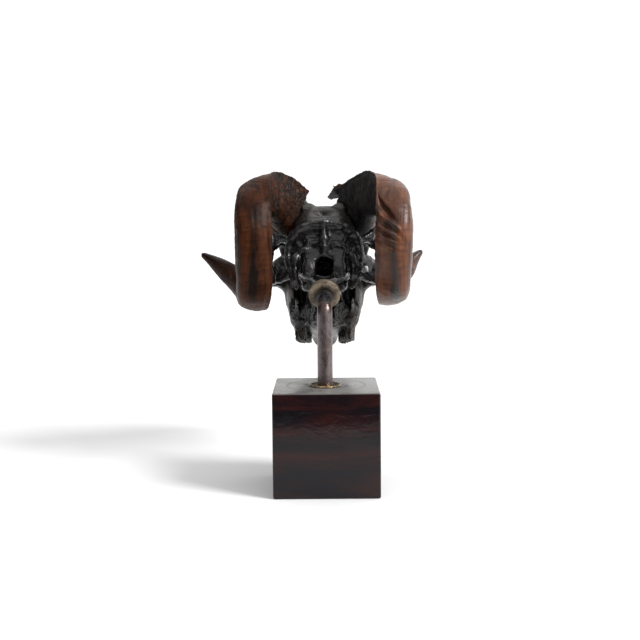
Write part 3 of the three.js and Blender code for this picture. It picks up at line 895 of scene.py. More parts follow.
def sculpt_skull(clay):
    """Ridges, pits and sutures of the bone, in the skull's own millimetres.

    Gives how far each point belongs to the smooth roof, and to a suture.
    """
    x, y, z = clay.points.T
    # Neck end: a ridge down the middle between three pairs of muscle pits, under the crest.
    clay.ridge([(0, -8, 58), (1, -9, 40), (0, -8, 24)], 2.4, 3.2)
    clay.swell((11, -8, 47), (8, 8, 7), -4.2)
    clay.swell((13, -8, 31), (8, 8, 6), -3.6)
    clay.swell((25, -5, 36), (6, 8, 9), -3.4)
    clay.ridge([(4, -9, 40), (14, -8, 39), (24, -5, 28)], 2.0, 2.0)
    clay.swell((0, -7, 58), (6, 6, 4), 2.4, mirror=False)
    clay.ridge([(0, -7, 59), (16, -6, 56), (29, -2, 51), (37, 4, 38)], 2.4, 2.4)
    # The joint knobs are parted from the opening and from the side horns.
    clay.ridge([(25, -6, 24), (25.5, -6, 12), (24, -4, -5)], 2.8, -3.6)
    clay.ridge([(9.6, -13, 0), (10.5, -12, 14), (9, -10, 22)], 1.6, 1.4)
    clay.ridge([(5, -10, -3), (13, -12, -5), (22, -9, 1)], 1.9, 2.0)
    clay.ridge([(37, 3, 38), (39, 2, 25), (36, 0, 8), (30, 4, -12)], 1.8, 2.2)
    # The roots of the cheek arches are creased and pitted.
    clay.ridge([(38, 18, 26), (46, 28, 22), (56, 44, 20)], 2.2, 2.2)
    clay.ridge([(40, 14, 6), (48, 24, 2), (56, 40, 2)], 2.2, 1.8)
    clay.swell((43, 16, 15), (6, 8, 5), -3.4)
    clay.swell((52, 30, 12), (6, 8, 5), -3.0)
    # Roof: a pit in the middle, and lines where the temple muscles held.
    pit = clay.near((0, 11, 75), (9, 4, 5), mirror=False)
    clay.push(pit, -6.0)
    clay.ridge([(33, 10, 62), (31, 28, 74), (28, 40, 84)], 2.2, 1.4)
    # Face: the edges of the cheeks, the tear pits, the roots of the teeth and a dip in the forehead.
    clay.ridge([(44, 112, 6), (42, 130, -6), (38, 150, -14)], 3.4, 1.6)
    clay.swell((40, 122, 24), (8, 12, 10), -3.0)
    for i in range(5):
        clay.swell((36 - 2 * i, 114 + 12.5 * i, -27), (7, 3.6, 9), 1.4)
    clay.swell((0, 100, 66), (10, 26, 8), -1.6, mirror=False)
    clay.refresh()
    # Sutures wander, so the lines are bent by noise.
    wander = 2.4 * clay.grain(7, octaves=2, seed=9)
    seam = np.zeros(len(x))
    for gap in (
        (np.abs(y - 46 + wander) + 6 * (z < 60)),
        (np.abs(y - 100 - 0.12 * np.abs(x) + wander) + 6 * (z < 48)),
        (np.abs(x + 0.4 * wander) + 6 * ((y < 50) | (z < 12))),
        (np.abs(np.abs(x) - 13 + wander) + 6 * ((y < 112) | (y > 208) | (z < 0))),
    ):
        line = np.exp(-((gap / 0.9) ** 2))
        clay.push(line, -0.55)
        seam = np.maximum(seam, line)
    # Weathered surface: craggy at the neck and below, finely lined on the roof.
    # The middle pit is left out of the pale roof, so it is painted dark as the shade in it.
    roof = clay.near((0, 24, 80), (34, 26, 20), mirror=False) * (1 - pit)
    knobs = clay.near((17, -10, 12), (9, 9, 13))
    back = np.clip((108 - y) / 40, 0, 1) * np.clip((68 - z) / 10, 0, 1) * (1 - roof) * (1 - 0.8 * knobs)
    rough = clay.grain(8, octaves=4, seed=2)
    ridges = 0.6 - 2 * np.abs(clay.grain(15, octaves=3, seed=4))
    pits = clay.grain(2.6, octaves=2, seed=5)
    lines = clay.grain(1.5, stretch=(14, 3, 1), octaves=2, seed=7)
    lumps = 0.2 + back
    core = clay.near((31, 64, 88), (18, 26, 14))
    clay.push(clay.grain(3.5, octaves=4, seed=12) * core, 2.2)
    base = np.clip((-2 - z) / 10, 0, 1) * np.clip((118 - y) / 12, 0, 1)
    clay.push(clay.grain(5, stretch=(1, 1, 3.5), octaves=3, seed=11) * base, 2.0)
    clay.push(rough * lumps * 0.7 + ridges * back * 0.9 + pits * lumps * 0.2 + lines * roof * 0.4, 1.0)
    clay.refresh()
    return roof, seam


def skull_mesh(voxel):
    """The cranium, with what its material reads: hollows, ridges, roof, sutures and face."""
    clay = Clay(cranium(voxel))
    roof, seam = sculpt_skull(clay)
    clay.paint("relief", clay.softened(2, clay.relief(24, 1.6))[:, 0])
    clay.paint("hollow", clay.softened(6, clay.relief(240, 7.0))[:, 0])
    clay.paint("roof", np.clip(roof * 1.2, 0, 1))
    clay.paint("seam", seam)
    clay.paint("face", np.clip((clay.points[:, 1] - 70) / 50, 0, 1))
    clay.mesh.name = "skull_bone"
    return placed(clay.mesh, TO_METRES @ SKULL_PLACE)


# ---- Teeth ---------------------------------------------------------------------------------
# Lengths of the cheek teeth from the back. The first three are wide, with two lobes each.
TOOTH_LENGTHS = [20, 16.5, 13.5, 9.5, 9, 8]
WIDE_TEETH = 3
ROW_BACK = 108.0
ROW_HALF_SPAN, ROW_TAPER = 28.3, 6.5
BITE_LEVEL, BITE_RISE = -54, 7.5


def add_tooth(bm, side, i, back):
    """A ridged column of one or two lobes, worn to ragged points."""
    length = TOOTH_LENGTHS[i]
    share = (back + length / 2 - ROW_BACK) / sum(TOOTH_LENGTHS)
    middle = ROW_HALF_SPAN - ROW_TAPER * share**1.4
    half, lobes, ribs = (7.4, 2, 9) if i < WIDE_TEETH else (5.4, 1, 6)
    bite = BITE_LEVEL + BITE_RISE * share + (i % 2) * 0.8
    column = [(-26, 0.98), (-30, 1.04), (-34, 1.0), (-38, 1.03), (-42, 0.97), (-45, 1.0), (-47, 0.95)]
    crown = [(bite + 3, 0.94), (bite + 1.4, 0.9), (bite, 0.76), (bite + 1.6, 0.6), (bite + 2.8, 0.3)]
    levels = column + crown

    def place(ring, around):
        level, scale = levels[ring]
        turn = 2 * math.pi * around
        cos, sin = bulge(math.cos(turn), 3), bulge(math.sin(turn), 2.6)
        waist = 1 - 0.2 * math.cos(math.pi * cos * lobes) ** 2 if lobes == 2 else 1
        spot = (math.cos(turn) * 2.2, math.sin(turn) * 2.2, level * 0.13 + 7 * i + 3 * side)
        rib = 0.7 * math.cos(turn * ribs + i) + 1.3 * noise.noise(spot)
        ragged = 3.0 * noise.noise((math.cos(turn) * 1.7 + 5 * i, math.sin(turn) * 1.7, side))
        wave = 0.3 * math.sin(level * 1.6 + 4 * noise.noise(spot))
        lean = (level + 30) * 0.05
        across = (half * waist + rib + wave) * sin * scale + lean
        long = (length / 2 - 0.3 + 0.4 * rib) * cos * scale
        drop = ragged if ring >= len(column) else 0
        return (side * (middle + across), back + length / 2 + long, level + drop)

    tube(bm, 56, len(levels), place)


def teeth_mesh(name, side):
    """One row of cheek teeth, set a little into each other."""
    bm = bmesh.new()
    back = ROW_BACK
    for i, length in enumerate(TOOTH_LENGTHS):
        add_tooth(bm, side, i, back)
        back += length - 0.4
    return placed(mesh_of(bm, name), TO_METRES @ SKULL_PLACE, sharp=50)


# ---- Stand ---------------------------------------------------------------------------------


def block_mesh(edge, segments=5):
    """The wood block: a box of the frame's size with rounded edges."""
    low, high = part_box("stand_block")
    bm = bmesh.new()
    place = Matrix.Translation((low + high) / 2) @ Matrix.Diagonal((*(high - low), 1))
    bmesh.ops.create_cube(bm, size=1, matrix=place)
    bmesh.ops.bevel(
        bm, geom=bm.edges[:], offset=edge, segments=segments, profile=0.5, affect="EDGES", material=-1
    )
    return placed(mesh_of(bm, "block"), Matrix(), sharp=30)


def rod_mesh():
    """The bent rod: straight up, round the bend where it is hammered thinner, and into the skull."""
    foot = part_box("stand_rod")[0].z / MM
    straight, bent = 8, 20
    # A station is (middle, how far the rod has turned from upright, radius).
    stations = []
    for i in range(straight + 1):
        level = foot + (BEND_CENTRE.z - foot) * i / straight
        stations.append((Vector((ROD_CORNER.x, ROD_CORNER.y, level)), 0.0, ROD_RADIUS))
    for i in range(1, bent + 1):
        turn = ROD_TURN * i / bent
        centre = BEND_CENTRE + ROD_BEND * Vector((0, -math.cos(turn), math.sin(turn)))
        thin = min(1, max(0, i / bent - 0.1) / 0.75)
        stations.append((centre, turn, ROD_RADIUS * (1 - ROD_THINNING * thin**1.5)))
    end, turn, radius = stations[-1]
    stations += [(end + ROD_RISE * reach, turn, radius) for reach in (12, 30, ROD_REACH - BEND_TANGENT)]

    def place(ring, around):
        centre, turn, radius = stations[ring]
        angle = 2 * math.pi * around
        side = Vector((0, -math.cos(turn), math.sin(turn)))
        return centre + radius * (Vector((1, 0, 0)) * math.cos(angle) + side * math.sin(angle))

    bm = bmesh.new()
    tube(bm, 64, len(stations), place)
    return placed(mesh_of(bm, "rod"), sharp=40)


def turned(name, profile, place, sides=96):
    """A ring turned about its own Z from a closed profile of (radius, height), in millimetres."""
    bm = bmesh.new()
    verts = [bm.verts.new((radius, 0, height)) for radius, height in profile]
    edges = [bm.edges.new(pair) for pair in zip(verts, verts[1:] + verts[:1])]
    bmesh.ops.spin(
        bm, geom=verts + edges, cent=(0, 0, 0), axis=(0, 0, 1), angle=2 * math.pi, steps=sides, use_merge=True
    )
    bmesh.ops.remove_doubles(bm, verts=bm.verts, dist=1e-4)
    bmesh.ops.recalc_face_normals(bm, faces=bm.faces)
    return placed(mesh_of(bm, name), TO_METRES @ place, sharp=42)


def plate_mesh():
    """The domed brass washer that the skull sits against, with its boss inside the bone."""
    bore = ROD_RADIUS + 0.15
    back, front = PLATE_BACK, PLATE_FRONT
    profile = [(bore, back + 0.3), (bore + 0.6, back), (13.5, back + 0.1), (15.9, back + 0.3)]
    profile += [(16.6, back + 0.7), (16.9, back + 1.4), (17, back + 3), (17, front - 0.4), (16.6, front)]
    boss, end = PLATE_BOSS_RADIUS, front + PLATE_BOSS
    profile += [(boss, front), (boss, front + 4), (boss - 1, end), (bore, end)]
    return turned("mount_plate", profile, PLATE_PLACE)


def collar_mesh():
    """The black sleeve that wraps the thinned rod where it meets the plate."""
    inner = ROD_RADIUS * (1 - ROD_THINNING) + 0.02
    back = PLATE_BACK - 8
    profile = [(inner, back), (7.8, back + 0.2), (8.6, back + 1), (8.8, back + 5)]
    profile += [(8.6, PLATE_BACK - 0.1), (inner, PLATE_BACK - 0.1)]
    return turned("rod_collar", profile, PLATE_PLACE)


def foot_ring_mesh():
    """The thin brass ring round the rod's foot, with a soft raised lip."""
    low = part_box("stand_foot_ring")[0].z / MM
    bore = ROD_RADIUS + 0.3
    profile = [(bore, 0), (16, 0), (16.6, 0.3), (16.8, 0.8), (16.5, 1.4), (15.8, 1.85)]
    profile += [(15, 1.8), (14.3, 1.45), (12, 1.3), (9.2, 1.25), (bore, 1.0)]
    return turned("foot_ring", profile, Matrix.Translation((ROD_CORNER.x, ROD_CORNER.y, low)))


# ---- Finishes ------------------------------------------------------------------------------


def bone_material(colours):
    """Dark varnished bone: black and glossy at the neck, greyer and finely lined on the roof."""
    s = Shader("patinated_bone")
    place = s.coordinates()
    relief, hollow = s.attribute("relief"), s.attribute("hollow")
    face, roof, seam = s.attribute("face"), s.attribute("roof"), s.attribute("seam")
    mottle = s.noise(place, 95, 5, 0.6)
    fine = s.noise(place, 900, 3, 0.6)
    specks = s.noise(place, 300, 5, 0.7, 0.4)
    lines = s.noise(s.stretched(place, (40, 200, 700)), 1.0, 4, 0.6)
    worn = s.between(relief + mottle * 0.35, 0.62, 1.05)
    shade = s.mix(worn, colours.bone_dark, colours.bone_mid)
    shade = s.mix(s.between(specks, 0.56, 0.72, 0.0, 0.5), shade, colours.bone_mid)
    shade = s.mix(s.between(mottle, 0.5, 0.72, 0.0, 0.5), shade, colours.bone_brown)
    pale = s.mix(s.between(lines, 0.35, 0.65), colours.bone_roof, colours.bone_line)
    pale = s.mix(s.between(specks, 0.35, 0.5, 0.5, 0.0), pale, colours.bone_dark)
    shade = s.mix(roof * s.between(mottle, 0.2, 0.5, 0.65, 1.0), shade, pale)
    blotch = s.noise(place, 26, 6, 0.62, 0.5)
    streaky = s.noise(s.stretched(place, (110, 26, 70)), 1.0, 5, 0.6, 0.4)
    shade = s.mix(face * s.between(blotch, 0.4, 0.62, 0.0, 0.8), shade, colours.bone_face)
    shade = s.mix(face * s.between(streaky, 0.5, 0.68, 0.0, 0.7), shade, colours.bone_roof)
    shade = s.mix(seam * 0.8, shade, colours.bone_dark)
    # Painted shade: the deep hollows are mixed towards near black, as the shade that falls in them.
    shade = s.mix(s.between(hollow, 0.15, 0.5, 0.85, 0.0), shade, colours.black_and_painted_shade)
    gloss = s.between(specks, 0.3, 0.7, 0.16, 0.34) + roof * 0.16
    gloss = gloss + face * s.between(blotch, 0.35, 0.65, 0.04, 0.22)
    height = fine * 0.12 + specks * 0.5 + mottle * 1.6 + lines * roof * 0.8
    return s.finish(
        Base_Color=shade,
        Roughness=gloss,
        Specular_IOR_Level=0.4,
        Coat_Weight=(1 - roof) * (1 - face) * 0.12,
        Coat_Roughness=0.1,
        Normal=s.bump(height, 0.0012, 0.38),
    )


def tooth_material(colours):
    """Stained teeth: dark in the grooves, with paler glossy ribs of enamel."""
    s = Shader("stained_teeth")
    place = s.coordinates()
    stain = s.noise(place, 160, 5, 0.6)
    ribs = s.noise(s.stretched(place, (500, 500, 90)), 1.0, 3)
    shade = s.mix(s.between(stain + ribs * 0.5, 0.68, 0.95), colours.bone_dark, colours.enamel)
    return s.finish(
        Base_Color=shade,
        Roughness=s.between(stain, 0.3, 0.7, 0.18, 0.4),
        Coat_Weight=0.2,
        Coat_Roughness=0.1,
        Normal=s.bump(stain * 0.6 + ribs, 0.0008, 0.5),
    )


# How strong each horn's worn tan patches are, how dark the side towards the head is, partly its
# own dark horn and partly painted shadow, and how bright the whole sheath is, the left one painted
# darker as shade.
HORN_FINISHES = {
    "left": {"warmth": 0.45, "inner_dark_and_shade": 0.0, "bright": 0.47},
    "right": {"warmth": 0.7, "inner_dark_and_shade": 1.0, "bright": 1.0},
}


def horn_material(name, colours, warmth, inner_dark_and_shade, bright):
    """Old horn: red-brown with dark streaks that run its length, rings across it and a soft gloss."""
    s = Shader(f"horn_{name}")
    grain = s.attribute("grain", "Vector")
    long = s.part(grain, "Z")
    around = s.part(s.coordinates("UV"), "X")
    streak = s.noise(s.stretched(grain, (85, 85, 24)), 1.0, 6, 0.66, 1.2)
    fibre = s.noise(s.stretched(grain, (1200, 1200, 40)), 1.0, 3, 0.6)
    cloud = s.noise(grain, 38, 4, 0.6, 0.8)
    ring = s.noise(s.stretched(grain, (45, 45, 420)), 1.0, 5, 0.65, 0.5)
    scale = s.noise(grain, 420, 5, 0.65)
    inner = s.between(around, 0.0, 0.014) * s.between(around, 0.42, 0.5, 1.0, 0.0)
    inner = inner * s.between(long, 0.2, 0.27, 1.0, 0.0)
    middle = s.between(around, 0.75, 0.81) * s.between(around, 0.82, 0.88, 1.0, 0.0)
    middle = middle * s.between(long, 0.1, 0.14) * s.between(long, 0.17, 0.22, 1.0, 0.0)
    tip = s.between(long, 0.2, 0.27)
    shade = s.mix(s.between(streak, 0.36, 0.6), colours.horn_deep, colours.horn_band)
    shade = s.mix(s.between(cloud, 0.45, 0.72, 0.0, warmth), shade, colours.horn_light)
    shade = s.mix(s.between(ring + cloud * 0.3, 0.58, 0.8, 0.0, 0.5), shade, colours.horn_deep)
    shade = s.mix(s.between(fibre, 0.5, 0.8, 0.0, 0.2), shade, colours.horn_grey)
    stain = s.noise(s.stretched(grain, (28, 28, 14)), 1.0, 5, 0.7, 0.6)
    shade = s.mix(s.between(stain, 0.5, 0.66, 0.0, 0.75), shade, colours.horn_deep)
    shade = s.mix(middle * s.between(streak, 0.3, 0.6, 0.95, 0.5), shade, colours.horn_dark_and_shade)
    shade = s.mix(tip * s.between(cloud, 0.55, 0.62, 0.75, 0.0), shade, colours.horn_deep)
    scaly = s.mix(s.between(scale + ring * 0.5, 0.68, 0.95), colours.horn_dark_and_shade, colours.horn_grey)
    # On the side towards the head the horn's own dark carries painted shadow: warm patches are held back and
    # it goes near black, fully near the right horn's root.
    scaly = s.mix(s.between(cloud + scale * 0.8, 0.85, 1.1, 0.0, 1 - inner_dark_and_shade), scaly, colours.horn_band)
    shade = s.mix(inner * s.between(cloud, 0.35, 0.65, 1.0, 0.8), shade, scaly)
    shade = s.mix(inner * s.between(long, 0.06, 0.14, inner_dark_and_shade, 0.4), shade, colours.horn_dark_and_shade)
    # Painted shade: the whole sheath is dimmed by its brightness, the left horn to about half.
    shade = s.mix(1.0, shade, (bright, bright * 0.92, bright * 0.88), "MULTIPLY")
    polish = 0.1 * bright
    gloss = s.between(streak * 0.6 + scale * 0.4, 0.35, 0.65, 0.36 - polish, 0.54 - polish)
    gloss = gloss + inner * inner_dark_and_shade * 0.25
    height = ring * (inner * 1.6 + 0.45) + fibre * 0.3 + scale * (inner * 0.8 + 0.25)
    return s.finish(
        Base_Color=shade,
        Roughness=gloss,
        Specular_IOR_Level=0.3 * bright**2,
        Coat_Weight=0.12 * bright**3,
        Coat_Roughness=0.16,
        Normal=s.bump(height, 0.0014, 0.55),
    )


MARK_RADIUS = 0.041  # of the ring worn in the block's top


def lacquer_material(colours):
    """Ebonised wood under gloss lacquer: red-brown grain, and a top painted pale as the backdrop's
    reflection, with a ring worn in it.
    """
    s = Shader("lacquered_wood")
    place = s.coordinates()
    grain = s.noise(s.stretched(place, (6, 6, 48)), 1.0, 5, 0.55, 1.0)
    pores = s.noise(s.stretched(place, (30, 30, 1400)), 1.0, 3, 0.6)
    haze = s.noise(place, 30, 4, 0.6)
    waves = s.noise(s.stretched(place, (60, 60, 110)), 1.0, 3, 0.55, 0.6)
    shade = s.mix(s.between(grain, 0.4, 0.7, 0.0, 0.8), colours.lacquer_dark, colours.lacquer_grain)
    shade = s.mix(s.between(pores, 0.6, 0.8, 0.0, 0.4), shade, colours.lacquer_dark)
    flat = s.add("ShaderNodeVectorMath", {"operation": "MULTIPLY"}, {0: place, 1: (1, 1, 0)})
    reach = s.add("ShaderNodeVectorMath", {"operation": "LENGTH"}, {0: flat}, "Value")
    mark = s.between(s.reckon("ABSOLUTE", reach - MARK_RADIUS), 0.0, 0.0022, 1.0, 0.0)
    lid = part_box("stand_block")[1].z
    top = s.between(s.part(place, "Z"), lid - 0.0014, lid - 0.0002)
    # Painted reflection: most of the top is covered by a pale film that stands in for the backdrop's
    # reflection.
    shade = s.mix(top * s.between(haze, 0.3, 0.7, 0.5, 0.9), shade, colours.lacquer_top_sheen)
    gloss = s.between(haze, 0.35, 0.7, 0.1, 0.2) + top * (mark * 0.15 + 0.14)
    return s.finish(
        Base_Color=shade,
        Roughness=gloss,
        Specular_IOR_Level=0.24,
        Coat_Weight=0.1,
        Coat_Roughness=0.08,
        Normal=s.bump(waves * 0.9 + haze * 0.5 + pores * 0.05, 0.0016, 0.2),
    )


def bronze_material(colours):
    """Brown patinated steel: coppery, with grey patches rubbed bright, and painted black past the bend as the
    shade under the skull.
    """
    s = Shader("patinated_rod")
    place = s.coordinates()
    long = s.noise(s.stretched(place, (60, 60, 38)), 1.0, 5, 0.6, 0.3)
    fine = s.noise(s.stretched(place, (1500, 1500, 160)), 1.0, 3)
    spots = s.noise(place, 240, 4, 0.6)
    shade = s.mix(s.between(long, 0.36, 0.62), colours.bronze_dark, colours.bronze_worn)
    shade = s.mix(s.between(spots + long * 0.4, 0.7, 0.95, 0.0, 0.45), shade, colours.bronze_copper)
    shade = s.mix(s.between(spots, 0.3, 0.42, 0.6, 0.0), shade, colours.bronze_dark)
    level = s.part(place, "Z") - BEND_CENTRE.z * MM
    ahead = s.part(place, "Y") - BEND_CENTRE.y * MM
    # Painted shade: past the bend the rod goes near black and less metallic, as the shade under the skull.
    painted_bend_shade = s.between(level + ahead * 0.73 + spots * 0.001, -0.0001, 0.0006)
    shade = s.mix(painted_bend_shade, shade, colours.black_and_painted_shade)
    return s.finish(
        Base_Color=shade,
        Metallic=0.7 - painted_bend_shade * 0.6,
        Roughness=s.between(fine * 0.4 + long * 0.6, 0.35, 0.7, 0.2, 0.36),
        Normal=s.bump(fine + spots * 0.6, 0.0005, 0.4),
    )


def collar_material(colours):
    """A blackened sleeve."""
    s = Shader("blackened_collar")
    wear = s.noise(s.coordinates(), 400, 4)
    shade = s.mix(s.between(wear, 0.5, 0.75), colours.black_and_painted_shade, colours.bone_mid)
    return s.finish(Base_Color=shade, Roughness=0.3, Normal=s.bump(wear, 0.0006, 0.4))


def brass_material(name, dull, bright, metal, rough):
    """Aged brass with brown tarnish in patches and turning marks."""
    s = Shader(name)
    place = s.coordinates()
    tarnish = s.noise(place, 130, 5, 0.62, 0.6)
    fine = s.noise(place, 1100, 3, 0.6)
    shade = s.mix(s.between(tarnish + fine * 0.25, 0.48, 0.76), dull, bright)
    return s.finish(
        Base_Color=shade,
        Metallic=metal,
        Roughness=s.between(tarnish, 0.3, 0.7, rough + 0.14, rough),
        Normal=s.bump(tarnish * 0.8 + fine * 0.4, 0.0008, 0.4),
    )


# ---- Settings ------------------------------------------------------------------------------


def colour_property(name, description, default):
    return FloatVectorProperty(
        name=name, description=description, default=default, subtype="COLOR", size=3, min=0, max=1
    )


def number_property(name, description, default, **more):
    return FloatProperty(name=name, description=description, default=default, **more)


class SkullSizes(bpy.types.PropertyGroup):
    """Sizes that the pieces are built to."""

    voxel: number_property("Bone detail", "Size of the bone's facets in millimetres", 1.32, min=0.8, max=4)
    horn_rings: IntProperty(name="Horn rings", description="Rings along each horn", default=400, min=20)
    horn_sides: IntProperty(name="Horn sides", description="Points round each horn", default=120, min=12)
    block_edge: number_property("Block edge", "Radius of the block's edges", 0.0022, unit="LENGTH", min=0)


class SkullColours(bpy.types.PropertyGroup):
    """Colours of the finishes."""

    bone_dark: colour_property("Dark bone", "Varnished black of the neck end", (0.0045, 0.004, 0.0045))
    bone_mid: colour_property("Worn bone", "Grey on the ridges", (0.02, 0.018, 0.019))
    bone_brown: colour_property("Brown bone", "Warm stains", (0.016, 0.0105, 0.007))
    bone_face: colour_property("Face bone", "Brown-grey blotches on the face", (0.042, 0.031, 0.023))
    bone_roof: colour_property("Roof bone", "Smooth bone between the horns", (0.026, 0.024, 0.021))
    bone_line: colour_property("Roof lines", "Pale lines on the roof", (0.06, 0.055, 0.048))
    # Near black: painted shade in the bone's hollows and on the rod past its bend, and the collar's own
    # black.
    black_and_painted_shade: colour_property("Pit", "Dirt in the hollows", (0.004, 0.0035, 0.0035))
    enamel: colour_property("Enamel", "Ribs of the teeth", (0.06, 0.047, 0.036))
    horn_band: colour_property("Horn", "Red-brown of the front face", (0.125, 0.04, 0.014))
    horn_light: colour_property("Light horn", "Worn tan patches", (0.22, 0.088, 0.036))
    horn_deep: colour_property("Deep horn", "Streaks along the horn", (0.024, 0.009, 0.005))
    horn_grey: colour_property("Grey horn", "Greyed fibres", (0.14, 0.09, 0.068))
    # Near black of the horn's dark streaks, and of the side towards the head, where part of it is painted
    # shadow.
    horn_dark_and_shade: colour_property("Dark horn", "The side towards the head", (0.005, 0.0035, 0.003))
    lacquer_dark: colour_property("Lacquer", "Ebonised wood", (0.005, 0.0038, 0.0055))
    lacquer_grain: colour_property("Lacquer grain", "Faint red-brown grain", (0.032, 0.0075, 0.006))
    # A pale film painted on the block's top as the backdrop's reflection.
    lacquer_top_sheen: colour_property("Dust", "Dull film on the block's top", (0.21, 0.206, 0.196))
    bronze_dark: colour_property("Dark bronze", "Patina on the rod", (0.06, 0.038, 0.032))
    bronze_worn: colour_property("Worn bronze", "Rubbed metal on the rod", (0.165, 0.14, 0.14))
    bronze_copper: colour_property("Copper", "Coppery patches on the rod", (0.16, 0.085, 0.062))
    brass_dull: colour_property("Tarnish", "Brown on the brass", (0.1, 0.078, 0.058))
    brass_bright: colour_property("Brass", "Khaki brass of the plate", (0.27, 0.215, 0.15))
    ring_gold: colour_property("Gold", "Polished rim of the foot ring", (0.5, 0.35, 0.17))


class StageSettings(bpy.types.PropertyGroup):
    """The floor, the lights and the camera."""

    floor: colour_property("Floor", "Pale floor", (0.8, 0.8, 0.8))
    key_power: number_property("Key light", "Strength of the main light", 3.6, min=0)
    key_size: number_property("Key size", "Width of the main light, in degrees", 20, min=0)
    fill: number_property("Fill", "Brightness of the ceiling and the far wall", 1.1, min=0)
    room: number_property("Room", "Brightness of the near side of the room", 0.06, min=0)
    backdrop: number_property("Backdrop", "Brightness of the plain backdrop", 1.1, min=0)
    lens: number_property("Lens", "Focal length", 62.973, unit="CAMERA")
    tilt: number_property("Tilt", "Camera's downward tilt", 0.0972, unit="ROTATION")
    pan: number_property("Pan", "Camera's turn to the right", -0.0058, unit="ROTATION")
    roll: number_property("Roll", "Camera's roll", -0.00886, unit="ROTATION")
    camera: FloatVectorProperty(
        name="Camera",
        description="Camera's place",
        default=(0.00087, -1.16917, 0.29173),
        subtype="TRANSLATION",
    )


# ---- Stage ---------------------------------------------------------------------------------
# The floor's near edge, which lies outside the view, half its width, where the light is, and the
# width of the camera's sensor in millimetres.
FLOOR_FRONT = -0.59
FLOOR_HALF = 6
KEY_PLACE = (1.39, -0.84, 1.03)
SENSOR = 36


def studio_world(stage):
    """White walls ahead and on the right, a bright ceiling, and a dim room behind the camera."""
    world = bpy.data.worlds.new("studio")
    world.use_nodes = True
    s = Nodes(world.node_tree)
    way = s.coordinates("Generated")
    sideways = s.part(way, "X")
    ahead = s.between(s.part(way, "Y"), 0.0, 0.5) * s.between(sideways, -0.6, 0.1, 0.12, 1.0)
    above = s.between(s.part(way, "Z"), 0.3, 0.75)
    window = s.between(sideways, 0.25, 0.7, 0.0, 1.0)
    lit = s.reckon("MAXIMUM", s.reckon("MAXIMUM", ahead, above), window)
    seen = s.add("ShaderNodeLightPath", out="Is Camera Ray")
    strength = s.reckon("MAXIMUM", lit * (stage.fill - stage.room) + stage.room, seen * stage.backdrop)
    sky = s.tree.nodes["Background"]
    s.feed(sky.inputs["Color"], (1, 1, 1, 1))
    s.feed(sky.inputs["Strength"], strength)
    return world


def add_floor(scene, stage):
    bm = bmesh.new()
    place = Matrix.Translation((0, FLOOR_FRONT + FLOOR_HALF, 0))
    bmesh.ops.create_grid(bm, x_segments=1, y_segments=1, size=FLOOR_HALF, matrix=place)
    floor = bpy.data.objects.new("floor", mesh_of(bm, "floor"))
    scene.collection.objects.link(floor)
    floor.data.materials.append(Shader("pale_floor").finish(Base_Color=(*stage.floor, 1), Roughness=0.9))


def add_key(scene, stage):
    """The main light, from high on the right behind the camera."""
    lamp = bpy.data.lights.new("key", "SUN")
    lamp.energy = stage.key_power
    lamp.angle = math.radians(stage.key_size)
    key = bpy.data.objects.new("key", lamp)
    turn = (-Vector(KEY_PLACE)).to_track_quat("-Z", "Y").to_matrix().to_4x4()
    key.matrix_world = Matrix.Translation(KEY_PLACE) @ turn
    scene.collection.objects.link(key)


def add_camera(scene, stage):
    camera = bpy.data.objects.new("camera", bpy.data.cameras.new("camera"))
    camera.data.lens = stage.lens
    camera.data.sensor_width = SENSOR
    turn = (
        Matrix.Rotation(-stage.pan, 4, "Z")
        @ Matrix.Rotation(math.pi / 2 - stage.tilt, 4, "X")
        @ Matrix.Rotation(stage.roll, 4, "Z")
    )
    camera.matrix_world = Matrix.Translation(stage.camera) @ turn
    scene.collection.objects.link(camera)
    scene.camera = camera


# ---- Operators -----------------------------------------------------------------------------


class RAM_SKULL_OT_bone(bpy.types.Operator):
    """Model the cranium as one sculpted bony piece"""

    bl_idname = "ram_skull.bone"
    bl_label = "Skull bone"

    def execute(self, context):
        sizes, colours = context.scene.skull_sizes, context.scene.skull_colours
        mesh = skull_mesh(sizes.voxel)
        add_piece("skull_bone", mesh, bone_material(colours), SKULL_NODES)
        return {"FINISHED"}


class RAM_SKULL_OT_teeth(bpy.types.Operator):
    """Model both rows of cheek teeth"""

    bl_idname = "ram_skull.teeth"
    bl_label = "Teeth"

    def execute(self, context):
        material = tooth_material(context.scene.skull_colours)
        for side, name in ((-1, "teeth_left"), (1, "teeth_right")):
            add_piece(name, teeth_mesh(name, side), material)
        return {"FINISHED"}


class RAM_SKULL_OT_horns(bpy.types.Operator):
    """Model the two horn sheaths"""

    bl_idname = "ram_skull.horns"
    bl_label = "Horns"

    def execute(self, context):
        sizes, colours = context.scene.skull_sizes, context.scene.skull_colours
        for horn in HORNS:
            mesh = horn_mesh(horn, sizes.horn_rings, sizes.horn_sides)
            material = horn_material(horn.name, colours, **HORN_FINISHES[horn.name])
            add_piece(f"horn_sheath_{horn.name}", mesh, material, [f"horn_{horn.name}"])
        return {"FINISHED"}


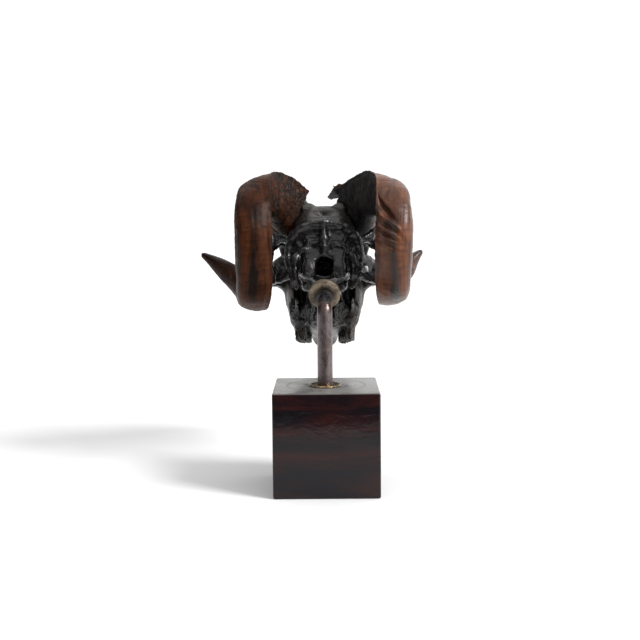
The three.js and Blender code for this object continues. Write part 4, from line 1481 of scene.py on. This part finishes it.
class RAM_SKULL_OT_stand(bpy.types.Operator):
    """Model the block, the bent rod and its brass fittings"""

    bl_idname = "ram_skull.stand"
    bl_label = "Stand"

    def execute(self, context):
        sizes, colours = context.scene.skull_sizes, context.scene.skull_colours
        block = block_mesh(sizes.block_edge)
        add_piece("block", block, lacquer_material(colours), ["stand_block"])
        add_piece("rod", rod_mesh(), bronze_material(colours), ["stand_rod"])
        add_piece("rod_collar", collar_mesh(), collar_material(colours))
        plate = brass_material("plate_brass", colours.brass_dull, colours.brass_bright, 0.5, 0.34)
        add_piece("mount_plate", plate_mesh(), plate, ["stand_mount_plate"])
        ring = brass_material("ring_brass", colours.brass_dull, colours.ring_gold, 0.9, 0.2)
        add_piece("foot_ring", foot_ring_mesh(), ring, ["stand_foot_ring"])
        return {"FINISHED"}


class RAM_SKULL_OT_stage(bpy.types.Operator):
    """Set up the pale floor, the soft lights and the camera"""

    bl_idname = "ram_skull.stage"
    bl_label = "Stage"

    def execute(self, context):
        scene = context.scene
        stage = scene.skull_stage
        add_floor(scene, stage)
        scene.world = studio_world(stage)
        add_key(scene, stage)
        scene.view_settings.view_transform = "Standard"
        add_camera(scene, stage)
        return {"FINISHED"}


class RAM_SKULL_PT_panel(bpy.types.Panel):
    """The steps of the build, in their order"""

    bl_idname = "RAM_SKULL_PT_panel"
    bl_label = "Ram Skull"
    bl_space_type = "VIEW_3D"
    bl_region_type = "UI"
    bl_category = "Ram Skull"

    def draw(self, context):
        for group in (context.scene.skull_sizes, context.scene.skull_colours, context.scene.skull_stage):
            for name in group.__annotations__:
                self.layout.prop(group, name)
        for step in STEPS:
            self.layout.operator(step.bl_idname)


STEPS = [RAM_SKULL_OT_bone, RAM_SKULL_OT_teeth, RAM_SKULL_OT_horns, RAM_SKULL_OT_stand, RAM_SKULL_OT_stage]
CLASSES = [SkullSizes, SkullColours, StageSettings, *STEPS, RAM_SKULL_PT_panel]


def register():
    for cls in CLASSES:
        bpy.utils.register_class(cls)
    bpy.types.Scene.skull_sizes = PointerProperty(type=SkullSizes)
    bpy.types.Scene.skull_colours = PointerProperty(type=SkullColours)
    bpy.types.Scene.skull_stage = PointerProperty(type=StageSettings)


def unregister():
    del bpy.types.Scene.skull_sizes, bpy.types.Scene.skull_colours, bpy.types.Scene.skull_stage
    for cls in reversed(CLASSES):
        bpy.utils.unregister_class(cls)


def main():
    register()
    bpy.ops.ram_skull.bone()
    bpy.ops.ram_skull.teeth()
    bpy.ops.ram_skull.horns()
    bpy.ops.ram_skull.stand()
    bpy.ops.ram_skull.stage()


if __name__ == "__main__":
    main()
